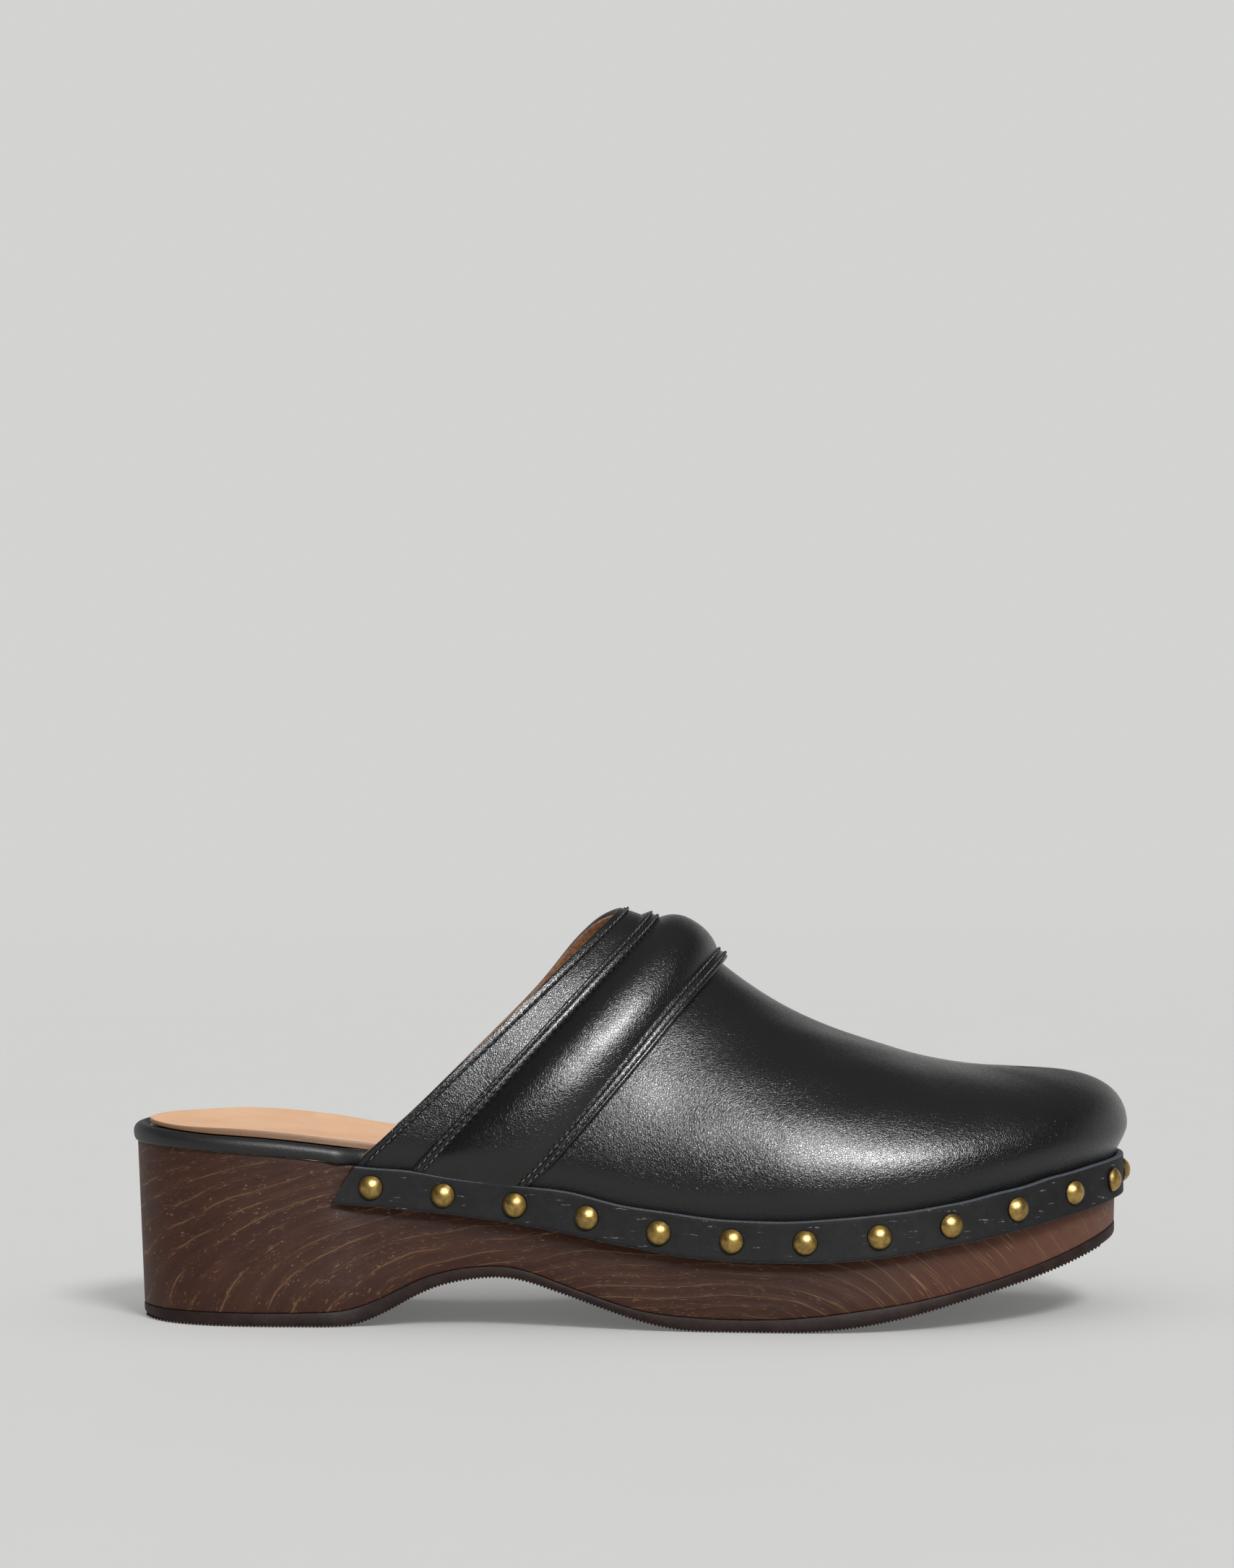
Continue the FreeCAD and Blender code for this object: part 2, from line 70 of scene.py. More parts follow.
footbedTopXZ = [(-138, 52), (-124, 51.8), (-118, 51.2), (-109, 50.6), (-102, 50.3), (-94, 49.8), (-86, 49),
                (-79, 48.2), (-72, 47.2), (-64, 46), (-57, 45), (-50, 43.8), (-42, 42.7), (-31, 41.4),
                (-20, 40.2), (-12, 38.8), (-5, 37.1), (2, 35.6), (9, 34.4), (17, 33.4), (24, 32.8),
                (31, 32.5), (42, 32.4), (50, 32.6), (60, 33.5), (68, 34.1), (75, 34.9), (82, 35.9),
                (90, 37.1), (97, 38.7), (105, 40.2), (112, 41.5), (120, 42.5), (138, 43.6)]
stripTopXZ = [(-82, 42.9), (-76, 42.5), (-70.6, 42), (-64.7, 41.3), (-57, 40.7), (-50, 39.6), (-42, 38.5),
              (-31, 37.4), (-20, 36.4), (-12.7, 35.1), (-5.4, 33.4), (2, 32), (9.3, 30.9), (16.7, 30),
              (24, 29.3), (31, 29), (42, 28.9), (49.6, 29.2), (60.5, 30.1), (67.8, 30.8), (75, 31.6),
              (82.4, 32.6), (89.8, 33.9), (97.2, 35.4), (104.8, 37), (112.4, 38.3), (120.2, 39.3), (138, 41)]
stripBottomXZ = [(-82, 32.6), (-76, 32.2), (-72.2, 31.8), (-64.8, 31.3), (-57.3, 30.8), (-50, 30.1),
                 (-42.5, 29.2), (-35, 28.2), (-24, 26.5), (-16.5, 25.3), (-9.1, 23.7), (1.9, 21.4),
                 (9.3, 20.2), (16.6, 19.3), (23.9, 18.8), (31.2, 18.4), (38.5, 18.3), (45.8, 18.4),
                 (53.1, 18.7), (60.4, 19.2), (67.7, 19.9), (75, 20.9), (82.4, 22), (89.8, 23.2),
                 (97.2, 24.5), (104.7, 25.9), (112.3, 27.4), (120.2, 28.7), (138, 31)]
ridgeXZ = [(-3.2, 105.3), (3, 103.2), (12, 98.3), (20, 92.9), (27, 87.6), (35, 82.1), (42, 78), (50, 74.4),
           (57, 71.7), (65, 68.9), (72, 66.7), (80, 64.8), (87, 63.7), (95, 63.2), (102, 62.9)]
ridgeY = (2.5, 5.0)
rearX = {-1: -70.4, 1: -67.5}     # where the upper starts on the outer and inner side
medialBow = 3.2                   # how far the inner side of the topline bows to the rear
stations, rows = 44, 16           # the upper's net of control points on each side
stripEnd = {"bottom": (-76.5, 31.0), "top": (-70.2, 42.6)}     # the slanted rear ends of the strip


def ease(t):
    t = np.clip(t, 0, 1)
    return t * t * (3 - 2 * t)


def unit(v):
    return v / np.maximum(np.linalg.norm(v, axis=-1, keepdims=True), 1e-12)


def splineRows(poleCount, at):
    # weights of a clamped cubic's control points at places from 0 to 1
    spans = poleCount - 3
    knots = np.concatenate([np.zeros(3), np.arange(spans + 1), np.full(3, spans)]).astype(float)
    t = np.clip(np.asarray(at, float) * spans, 0, spans - 1e-9)
    found = ((t[:, None] >= knots[None, :-1]) & (t[:, None] < knots[None, 1:])).astype(float)
    for d in (1, 2, 3):
        left, right = knots[d:-1] - knots[:-d - 1], knots[d + 1:] - knots[1:-d]
        a = np.where(left > 0, (t[:, None] - knots[None, :-d - 1]) / np.where(left > 0, left, 1), 0)
        b = np.where(right > 0, (knots[None, d + 1:] - t[:, None]) / np.where(right > 0, right, 1), 0)
        found = a * found[:, :-1] + b * found[:, 1:]
    return found


def heightLine(poles):
    line = splineRows(len(poles), np.linspace(0, 1, 1500)) @ np.array(poles, float)
    return lambda x: np.interp(x, line[:, 0], line[:, 1])


def evenly(points, count):
    # the same line with its points the same distance apart
    along = np.concatenate([[0], np.cumsum(np.linalg.norm(np.diff(points, axis=0), axis=1))])
    at = np.linspace(0, along[-1], count)
    return np.stack([np.interp(at, along, points[:, k]) for k in range(points.shape[1])], 1)


def loopLine(poles, count):
    poles = np.array(poles, float)
    t = np.arange(200)[:, None] / 200
    weights = np.hstack([(1 - t) ** 3, 3 * t ** 3 - 6 * t ** 2 + 4,
                         -3 * t ** 3 + 3 * t ** 2 + 3 * t + 1, t ** 3]) / 6
    loop = np.vstack([weights @ np.roll(poles, 1 - k, axis=0)[:4] for k in range(len(poles))])
    return evenly(np.vstack([loop, loop[:1]]), count + 1)[:-1]


def throughPoints(points, count):
    # a smooth line through the points, evenly spaced
    p = np.array(points, float)
    slope = np.gradient(p, axis=0)
    t = np.linspace(0, 1, 30)[:, None]
    spans = [(2 * t ** 3 - 3 * t ** 2 + 1) * p[i] + (t ** 3 - 2 * t ** 2 + t) * slope[i]
             + (3 * t ** 2 - 2 * t ** 3) * p[i + 1] + (t ** 3 - t ** 2) * slope[i + 1]
             for i in range(len(p) - 1)]
    return evenly(np.vstack(spans), count)


outline = loopLine(outlineXY, 1440)
ahead = unit(np.roll(outline, -1, 0) - np.roll(outline, 1, 0))
outward = np.stack([ahead[:, 1], -ahead[:, 0]], 1)
heelAt, toeAt = int(outline[:, 0].argmin()), int(outline[:, 0].argmax())
outline, outward = np.roll(outline, -heelAt, 0), np.roll(outward, -heelAt, 0)
toeAt = (toeAt - heelAt) % len(outline)
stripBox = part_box("welt_strip")
shift = np.array([stripBox[1].x * 1000 - outline[:, 0].max(), stripBox[0].y * 1000 - outline[:, 1].min(), 0])
soleBottom, woodBottom, woodTop = heightLine(soleBottomXZ), heightLine(woodBottomXZ), heightLine(woodTopXZ)
footbedTop = heightLine(footbedTopXZ)
stripTop, stripBottom = heightLine(stripTopXZ), heightLine(stripBottomXZ)
ridgeX, ridgeZ = np.array(ridgeXZ, float).T
ridgeAside = ridgeY[0] + (ridgeY[1] - ridgeY[0]) * (ridgeX - ridgeX[0]) / (ridgeX[-1] - ridgeX[0])
ridge = throughPoints(np.stack([ridgeX, ridgeAside, ridgeZ], 1), 201)
print("outline %.1f mm round, shift" % np.linalg.norm(np.diff(outline, axis=0), axis=1).sum(), shift.round(2))


def outlineAt(place):
    # the point and outward direction at a place along the outline, which counts in its points
    place = np.asarray(place, float) % len(outline)
    i = place.astype(int)
    j, t = (i + 1) % len(outline), (place - i)[..., None]
    return outline[i] * (1 - t) + outline[j] * t, unit(outward[i] * (1 - t) + outward[j] * t)


def placeOfX(side, x):
    # where the outline passes x on one side
    if side < 0:
        return np.interp(x, outline[:toeAt + 1, 0], np.arange(toeAt + 1))
    back = np.arange(len(outline), toeAt - 1, -1)
    return np.interp(x, outline[back % len(outline), 0], back)


# The upper's skin: share runs from the topline to the toe, and across from the outer hem (0)
# over the ridge (1) to the inner hem (2).
def upperPoles(side):
    net = np.zeros((stations + 1, rows + 1, 3))
    rear = placeOfX(side, rearX[side])
    for i in range(stations + 1):
        share = i / stations
        base, out = outlineAt(rear + (toeAt - rear) * share)
        at = min(share * 200, 199.999)
        step = ridge[int(at) + 1] - ridge[int(at)]
        top, slope = ridge[int(at)] + step * (at - int(at)), step[2] / step[0]
        low, high = (np.interp(base[0], *zip(*line)) for line in (stripBottomXZ, stripTopXZ))
        lean = 1 - ease((base[0] - 5) / 60)
        bulge = 0.2 + 0.9 * ease((share - 0.75) / 0.25)
        hem = [(low + 0.8, 2.15), ((low + high) / 2, 2.15), (high - 1.5, 2.15), (high + 0.8, 1.9),
               (high + 3.4, 0.9 - 0.5 * bulge), (high + 6.5, -bulge)]
        for row, (z, inset) in enumerate(hem):
            rise = max(0.0, z - high) / (top[2] - high)
            p = base - out * inset
            net[i, row] = (p[0] + (top[0] - base[0]) * lean * rise, p[1], z)
        start = net[i, 5]
        toeness = ease((share - 0.55) / 0.45)
        wall, crown = 0.52 + 0.17 * toeness, 0.52 + 0.14 * toeness
        run = (start[0] - top[0]) * (1 - lean) * crown
        p1 = start + np.array([(top[0] - start[0]) * lean * wall, 0, (top[2] - start[2]) * wall])
        p2 = top + np.array([run, (start[1] - top[1]) * crown, run * slope])
        for row in range(6, rows + 1):
            t = (row - 5) / (rows - 5)
            net[i, row] = (start * (1 - t) ** 3 + p1 * 3 * t * (1 - t) ** 2
                           + p2 * 3 * t * t * (1 - t) + top * t ** 3)
            if side > 0:
                bow = ease((t - 0.38) / 0.3) * (1 - ease((t - 0.78) / 0.22))
                net[i, row, 0] -= medialBow * (1 - share) ** 5 * bow
    return net


def makeSkin(alongCount=701, upCount=241):
    u = splineRows(stations + 1, np.linspace(0, 1, alongCount))
    v = splineRows(rows + 1, np.linspace(0, 1, upCount))
    outer, inner = (np.einsum("si,irc,vr->svc", u, upperPoles(side), v) for side in (-1, 1))
    points = np.concatenate([outer, inner[:, -2::-1]], axis=1)
    along = np.gradient(points, axis=0)
    over = np.gradient(points, axis=1)
    normals = unit(np.cross(along, over))
    normals[-1] = unit(normals[-1] + normals[-1, ::-1])
    return points, normals


skinPoints, skinNormals = makeSkin()
toplineReach = 0.15


def skinAt(share, across):
    a = np.clip(share, 0, 1) * (skinPoints.shape[0] - 1)
    b = np.clip(across, 0, 2) / 2 * (skinPoints.shape[1] - 1)
    i = np.minimum(a.astype(int), skinPoints.shape[0] - 2)
    j = np.minimum(b.astype(int), skinPoints.shape[1] - 2)
    s, t = (a - i)[..., None], (b - j)[..., None]
    blended = [g[i, j] * (1 - s) * (1 - t) + g[i + 1, j] * s * (1 - t)
               + g[i, j + 1] * (1 - s) * t + g[i + 1, j + 1] * s * t for g in (skinPoints, skinNormals)]
    return blended[0], unit(blended[1])


def shareAtDistance(start, end, across, distance):
    # the share that lies some mm from the line start towards the line end, at each place across
    t = np.linspace(0, 1, 81)
    shares = start[:, None] + (end - start)[:, None] * t
    p, _ = skinAt(shares, np.repeat(across[:, None], len(t), 1))
    steps = np.linalg.norm(np.diff(p, axis=1), axis=2)
    along = np.concatenate([np.zeros((len(across), 1)), np.cumsum(steps, axis=1)], 1)
    distance = np.broadcast_to(distance, (len(across),) + np.shape(distance)[-1:])
    return np.array([np.interp(d, a, s) for d, a, s in zip(distance, along, shares)]), along[:, -1]


def shareFromTopline(across, distance):
    # the share that lies some mm down from the topline, which reaches no further than toplineReach
    return shareAtDistance(np.zeros(len(across)), np.full(len(across), toplineReach), across, distance)[0]


def softNoise(points, size, seed):
    # gentle swells, from -1 to 1, a few times size apart
    rng = np.random.default_rng(seed)
    total = np.zeros(points.shape[:-1])
    for k in range(7):
        direction = unit(rng.normal(size=3))
        total += np.sin(points @ direction * (2 * math.pi / size) * rng.uniform(0.5, 1.4)
                        + rng.uniform(0, 6.3))
    return total / 3.2


# Meshes
def gridFaces(rowCount, columnCount, wrap=False, first=0):
    a = np.arange(rowCount - 1)[:, None] * columnCount
    b = np.arange(columnCount if wrap else columnCount - 1)[None, :]
    c = (b + 1) % columnCount
    corners = np.stack([a + b, a + c, a + columnCount + c, a + columnCount + b], -1)
    return (corners.reshape(-1, 4) + first).tolist()


def makePiece(name, points, faces, attributes=None, sharp=50):
    mesh = bpy.data.meshes.new(name)
    mesh.from_pydata(((points.reshape(-1, 3) + shift) * 0.001).tolist(), [], faces)
    for key, values in (attributes or {}).items():
        layer = mesh.attributes.new(key, "FLOAT", "POINT")
        layer.data.foreach_set("value", np.asarray(values, np.float32).ravel())
    thing = bpy.data.objects.new(name, mesh)
    bpy.context.scene.collection.objects.link(thing)
    work = bmesh.new()
    work.from_mesh(mesh)
    bmesh.ops.remove_doubles(work, verts=work.verts, dist=2e-6)
    bmesh.ops.dissolve_degenerate(work, edges=work.edges, dist=1e-7)
    bmesh.ops.recalc_face_normals(work, faces=work.faces)
    work.to_mesh(mesh)
    work.free()
    mesh.polygons.foreach_set("use_smooth", [True] * len(mesh.polygons))
    mesh.set_sharp_from_angle(angle=math.radians(sharp))
    return thing


def settle(thing):
    # turns the object with its modifiers into a plain mesh
    bpy.context.view_layer.update()
    graph = bpy.context.evaluated_depsgraph_get()
    mesh = bpy.data.meshes.new_from_object(thing.evaluated_get(graph), preserve_all_data_layers=True,
                                           depsgraph=graph)
    thing.modifiers.clear()
    thing.data = mesh
    return thing


def dress(thing, finish, slotName, *replaced):
    thing.data.materials.clear()
    thing.data.materials.append(finish)
    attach(thing, "root")
    if replaced:
        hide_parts(*replaced)
    print("made", thing.name, len(thing.data.polygons), "faces")
    return thing


# Node trees
class Wire:
    # a socket that can be used in sums
    def __init__(self, graph, socket):
        self.graph, self.socket = graph, socket

    def __add__(self, other):
        return self.graph.sum("ADD", self, other)

    def __sub__(self, other):
        return self.graph.sum("SUBTRACT", self, other)

    def __rsub__(self, other):
        return self.graph.sum("SUBTRACT", other, self)

    def __mul__(self, other):
        return self.graph.sum("MULTIPLY", self, other)

    def __pow__(self, other):
        return self.graph.sum("POWER", self, other)

    __radd__, __rmul__ = __add__, __mul__


class Graph:
    def __init__(self, tree):
        self.tree = tree

    def add(self, kind, settings=None, sockets=None, out=0):
        node = self.tree.nodes.new(kind)
        for key, value in (settings or {}).items():
            if key == "stops":
                while len(node.color_ramp.elements) < len(value):
                    node.color_ramp.elements.new(0.5)
                for element, (at, colour) in zip(node.color_ramp.elements, value):
                    element.position, element.color = at, (*colour, 1)
            else:
                setattr(node, key, value)
        for key, value in (sockets or {}).items():
            if isinstance(value, Wire):
                self.tree.links.new(value.socket, node.inputs[key])
            else:
                node.inputs[key].default_value = value
        return Wire(self, node.outputs[out]) if node.outputs else None

    def sum(self, operation, *values):
        return self.add("ShaderNodeMath", {"operation": operation}, dict(enumerate(values)))


class Finish(Graph):
    def __init__(self, name):
        self.material = bpy.data.materials.new(name)
        self.material.use_nodes = True
        super().__init__(self.material.node_tree)
        self.tree.nodes.clear()

    def place(self, stretch=(1, 1, 1)):
        # where on the clog, in mm, with each axis stretched
        coords = self.add("ShaderNodeTexCoord", out="Object")
        return self.vector("MULTIPLY", coords, tuple(1000 * s for s in stretch))

    def vector(self, operation, *values):
        return self.add("ShaderNodeVectorMath", {"operation": operation}, dict(enumerate(values)))

    def noise(self, where, scale, detail=3.0, roughness=0.55, out=0):
        return self.add("ShaderNodeTexNoise", None, {"Vector": where, "Scale": scale, "Detail": detail,
                                                     "Roughness": roughness, "Distortion": 0.0}, out)

    def between(self, value, low, high, start=0.0, end=1.0):
        # start where value is low, end where it is high, smooth in between
        return self.add("ShaderNodeMapRange", {"interpolation_type": "SMOOTHSTEP"},
                        {0: value, 1: low, 2: high, 3: start, 4: end})

    def colours(self, factor, a, b):
        pick = lambda c: c if isinstance(c, Wire) else (*c, 1)
        return self.add("ShaderNodeMix", {"data_type": "RGBA"}, {0: factor, 6: pick(a), 7: pick(b)}, 2)

    def attribute(self, name):
        return self.add("ShaderNodeAttribute", {"attribute_name": name}, out="Fac")

    def bump(self, height):
        # height is in mm
        return self.add("ShaderNodeBump", None, {"Height": height, "Distance": 0.001, "Strength": 1.0})

    def close(self, **sockets):
        named = {key.replace("_", " "): value for key, value in sockets.items()}
        shader = self.add("ShaderNodeBsdfPrincipled", None, named)
        self.add("ShaderNodeOutputMaterial", None, {"Surface": shader})
        return self.material


# Finishes. Lengths are in mm.
leather = {"grain": 0.62, "grainDepth": 0.022, "creaseSize": 9.0, "creaseDepth": 0.08, "roughness": 0.20,
           "dark": (0.0040, 0.0040, 0.0045), "light": (0.0080, 0.0078, 0.0084)}


def blackLeather(name="blackLeather", grainDepth=leather["grainDepth"], roughness=leather["roughness"]):
    f = Finish(name)
    where = f.place()
    wander = f.vector("SCALE", f.vector("SUBTRACT", f.noise(where, 0.9, 2, out="Color"), (0.5, 0.5, 0.5)))
    wander.socket.node.inputs["Scale"].default_value = 0.7
    warped = f.vector("ADD", where, wander)
    edges = f.add("ShaderNodeTexVoronoi", {"feature": "DISTANCE_TO_EDGE"},
                  {"Vector": warped, "Scale": 1 / leather["grain"], "Randomness": 0.9})
    small = f.add("ShaderNodeTexVoronoi", {"feature": "DISTANCE_TO_EDGE"},
                  {"Vector": warped, "Scale": 2.1 / leather["grain"], "Randomness": 1.0})
    pebble = f.between(edges, 0.0, 0.22)
    fine = f.between(small, 0.0, 0.2)
    crease = f.noise(where, 1 / leather["creaseSize"], 5, 0.6)
    patch = f.noise(where, 1 / 28, 3)
    height = pebble * grainDepth + fine * (grainDepth * 0.35) + crease * leather["creaseDepth"]
    tone = f.colours(f.between(patch, 0.35, 0.7) * 0.5 + pebble * 0.4, leather["dark"], leather["light"])
    return f.close(Base_Color=tone, Roughness=roughness + (1 - pebble) * 0.08 + patch * 0.06,
                   Normal=f.bump(height), Specular_IOR_Level=0.5)


strip = {"tone": (0.0085, 0.0088, 0.0096), "toneLight": (0.0140, 0.0146, 0.0158), "thick": 2.0,
         "rawDark": (0.055, 0.062, 0.075), "rawEdge": (0.12, 0.134, 0.152), "scuff": (0.32, 0.32, 0.32)}


def stripLeather():
    f = Finish("stripLeather")
    where = f.place()
    edge = f.attribute("edge")
    fibre = f.noise(f.place((1, 1, 1.6)), 2.6, 5, 0.65)
    mottle = f.noise(where, 0.35, 4, 0.6)
    tone = f.colours(f.between(mottle, 0.35, 0.68), strip["tone"], strip["toneLight"])
    # short pale scuffs that lie along the strip
    dash = f.noise(f.place((0.16, 0.16, 1.5)), 1.0, 3, 0.5)
    scuff = f.between(dash, 0.655, 0.70) * f.between(f.noise(where, 0.9, 2), 0.42, 0.58)
    tone = f.colours(scuff * 0.6, tone, strip["scuff"])
    raw = f.between(edge + (fibre - 0.5) * 0.8, 0.38, 0.62)
    tone = f.colours(raw, tone, f.colours(f.between(fibre, 0.35, 0.65), strip["rawDark"], strip["rawEdge"]))
    height = fibre * 0.07 + f.noise(where, 4.5, 2) * 0.03 + raw * fibre * 0.1
    return f.close(Base_Color=tone, Roughness=0.58 + mottle * 0.16, Normal=f.bump(height),
                   Specular_IOR_Level=0.2)


wood = {"heartX": 24.0, "heartZ": -10.0, "heelStretch": 2.8, "toeStretch": 1.62, "ringSpacing": 2.7,
        "dark": (0.041, 0.0120, 0.0055), "mid": (0.060, 0.0185, 0.0088), "light": (0.086, 0.0295, 0.0150),
        "pore": (0.27, 0.145, 0.062), "toeTint": (0.34, 0.15, 0.10), "fleck": (0.42, 0.27, 0.13),
        "grime": (0.030, 0.014, 0.010), "squareness": 2.6}


def stainedWood():
    f = Finish("stainedWood")
    where = f.place()
    drift = f.noise(where, 1 / 60, 2)
    ripple = f.noise(where, 1 / 15, 2)
    x, y, z = (f.add("ShaderNodeSeparateXYZ", None, {"Vector": where}, k) for k in range(3))
    right = x - wood["heartX"]
    squeeze = f.between(right, -6.0, 6.0, 1 / wood["heelStretch"], 1 / wood["toeStretch"])
    u = f.sum("ABSOLUTE", right * squeeze)
    w = f.sum("ABSOLUTE", z - wood["heartZ"])
    ring = (u ** wood["squareness"] + w ** wood["squareness"]) ** (1 / wood["squareness"])
    ring = ring + (drift - 0.5) * 8 + (ripple - 0.5) * 0.7 + y * 0.05
    alongGrain = x * 0.028 + z * 0.03

    def streaks(fine, along, detail):
        at = f.add("ShaderNodeCombineXYZ", None, {0: ring * fine, 1: alongGrain * along, 2: y * 0.12})
        return f.noise(at, 1.0, detail, 0.55)

    band = f.sum("SINE", ring * (2 * math.pi / wood["ringSpacing"]) + streaks(0.15, 0.8, 2) * 4) * 0.5 + 0.5
    broad = streaks(0.33, 1.0, 3)
    thin = streaks(1.7, 3.0, 3)
    line = f.between(band, 0.965, 0.997) * f.between(streaks(0.4, 2.0, 4), 0.42, 0.60)
    pores = f.between(streaks(4.2, 12.0, 2), 0.57, 0.68) * f.between(band, 0.1, 0.8)
    fleck = f.between(streaks(3.4, 22.0, 1), 0.66, 0.74) * f.between(f.noise(where, 0.25, 2), 0.42, 0.6)
    stops = [(0.25, wood["dark"]), (0.5, wood["mid"]), (0.78, wood["light"])]
    tone = f.add("ShaderNodeValToRGB", {"stops": stops}, {0: broad * 0.55 + thin * 0.45 + band * 0.08 - 0.03})
    # the wood turns redder and lighter towards the toe
    tone = f.colours(f.between(x, 40.0, 125.0) * 0.55, tone, f.colours(0.6, tone, wood["toeTint"]))
    tone = f.colours(line * 0.5, tone, wood["pore"])
    tone = f.colours(pores * 0.5, tone, wood["pore"])
    tone = f.colours(fleck * 0.5, tone, wood["fleck"])
    grime = f.between(f.noise(where, 0.12, 4, 0.65), 0.55, 0.75) * 0.35
    tone = f.colours(grime, tone, wood["grime"])
    height = thin * 0.08 - pores * 0.10 + band * 0.05 + f.noise(where, 1.3, 3) * 0.03
    return f.close(Base_Color=tone, Roughness=0.46 + thin * 0.18 + pores * 0.15, Normal=f.bump(height),
                   Specular_IOR_Level=0.25)


rubber = {"dark": (0.022, 0.011, 0.0092), "light": (0.036, 0.0190, 0.0162), "dust": (0.11, 0.085, 0.075)}


def outsoleRubber():
    f = Finish("outsoleRubber")
    where = f.place()
    mottle = f.noise(where, 0.22, 4, 0.6)
    speck = f.noise(where, 3.2, 2)
    tone = f.colours(f.between(mottle, 0.35, 0.7), rubber["dark"], rubber["light"])
    dust = f.between(f.noise(where, 0.6, 5, 0.7), 0.58, 0.75) * 0.2
    return f.close(Base_Color=f.colours(dust, tone, rubber["dust"]), Roughness=0.50 + speck * 0.2,
                   Normal=f.bump(speck * 0.05 + mottle * 0.15), Specular_IOR_Level=0.15)


tan = {"sock": (0.92, 0.565, 0.345), "sockDark": (0.84, 0.49, 0.275), "cut": (0.36, 0.19, 0.095),
       "lining": (0.47, 0.235, 0.105), "liningDark": (0.17, 0.075, 0.035), "nap": (0.66, 0.38, 0.2)}


def sockLeather():
    f = Finish("sockLeather")
    where = f.place()
    cut = f.attribute("edge")
    patch = f.noise(where, 1 / 22, 4)
    pore = f.add("ShaderNodeTexVoronoi", None, {"Vector": where, "Scale": 1.6, "Randomness": 1.0})
    hair = f.between(pore, 0.05, 0.22)
    tone = f.colours(f.between(patch, 0.35, 0.7), tan["sock"], tan["sockDark"])
    tone = f.colours((1 - hair) * 0.35, tone, tan["cut"])
    tone = f.colours(f.between(cut + (f.noise(where, 1.8, 3) - 0.5) * 0.5, 0.35, 0.65), tone, tan["cut"])
    return f.close(Base_Color=tone, Roughness=0.50 + patch * 0.15,
                   Normal=f.bump(hair * 0.04 + f.noise(where, 0.9, 4) * 0.08))


def liningLeather():
    f = Finish("liningLeather")
    where = f.place()
    blot = f.between(f.noise(where, 0.75, 4, 0.65), 0.44, 0.62)
    nap = f.noise(where, 3.0, 4, 0.7)
    tone = f.colours(blot * 0.75, tan["lining"], tan["liningDark"])
    return f.close(Base_Color=f.colours(f.between(nap, 0.5, 0.75) * 0.3, tone, tan["nap"]),
                   Roughness=0.74 + nap * 0.15, Normal=f.bump(nap * 0.10))


def blackThread():
    f = Finish("blackThread")
    where = f.place()
    twist = f.add("ShaderNodeTexWave", {"wave_type": "BANDS", "bands_direction": "DIAGONAL"},
                  {"Vector": where, "Scale": 0.9, "Distortion": 1.5, "Detail": 1.0})
    tone = f.colours(f.noise(where, 1.5, 2), (0.018, 0.018, 0.020), (0.050, 0.050, 0.054))
    return f.close(Base_Color=tone, Roughness=0.30 + twist * 0.15, Normal=f.bump(twist * 0.05))


brass = {"bright": (0.46, 0.305, 0.088), "dull": (0.27, 0.175, 0.058), "darkest": (0.030, 0.021, 0.014),
         "worn": (0.62, 0.56, 0.34)}


def tackBrass():
    f = Finish("tackBrass")
    where = f.place()
    rim = f.attribute("rim")
    tarnish = f.noise(where, 0.55, 5, 0.65)
    speck = f.noise(where, 3.2, 4, 0.7)
    tone = f.colours(f.between(tarnish, 0.38, 0.62), brass["bright"], brass["dull"])
    tone = f.colours(f.between(speck, 0.58, 0.72) * 0.55, tone, brass["darkest"])
    tone = f.colours(f.between(speck, 0.40, 0.30) * 0.35, tone, brass["worn"])
    # the head is darker towards its edge, where it meets the strip
    tone = f.colours(f.between(rim + (speck - 0.5) * 0.5, 0.45, 0.9), tone, brass["darkest"])
    return f.close(Base_Color=tone, Metallic=0.95 - f.between(speck, 0.58, 0.72) * 0.4,
                   Roughness=0.30 + tarnish * 0.12 + rim * 0.15, Normal=f.bump(speck * 0.03 + tarnish * 0.10))


def foam():
    f = Finish("foam")
    cells = f.add("ShaderNodeTexVoronoi", None, {"Vector": f.place(), "Scale": 1.1})
    tone = f.colours(cells, (0.62, 0.57, 0.44), (0.74, 0.70, 0.58))
    return f.close(Base_Color=tone, Roughness=0.85 + cells * 0.1, Normal=f.bump(cells * 0.3))


def stiffCloth():
    f = Finish("stiffCloth")
    weave = f.add("ShaderNodeTexChecker", None, {"Vector": f.place(), "Scale": 1.4}, "Fac")
    tone = f.colours(weave, (0.50, 0.45, 0.36), (0.60, 0.55, 0.46))
    return f.close(Base_Color=tone, Roughness=0.8 + weave * 0.1, Normal=f.bump(weave * 0.1))


finishes = {"upper": blackLeather(), "strip": stripLeather(), "wood": stainedWood(),
            "rubber": outsoleRubber(), "sock": sockLeather(), "lining": liningLeather(),
            "thread": blackThread(), "tack": tackBrass(), "foam": foam(), "cloth": stiffCloth(),
            "rim": blackLeather("rimLeather", leather["grainDepth"] * 0.7, leather["roughness"] + 0.22)}
print("finishes made")


# Layers of the sole: each is a stack of outlines from the bottom up, closed by a grid below and above.
solePlan = {"stations": 300, "capSteps": 18, "heelInset": 1.0, "foreInset": 2.8, "toeReach": 1.4,
            "taper": 1.3, "rebate": 3.8}


def stepInset(x, heel, fore, rear=-80.0, front=-68.0):
    return heel + (fore - heel) * ease((x - rear) / (front - rear))


def woodOutline(x):
    toe = solePlan["toeReach"] * ease((x - 100) / 25)
    return stepInset(x, solePlan["heelInset"], solePlan["foreInset"]) - toe


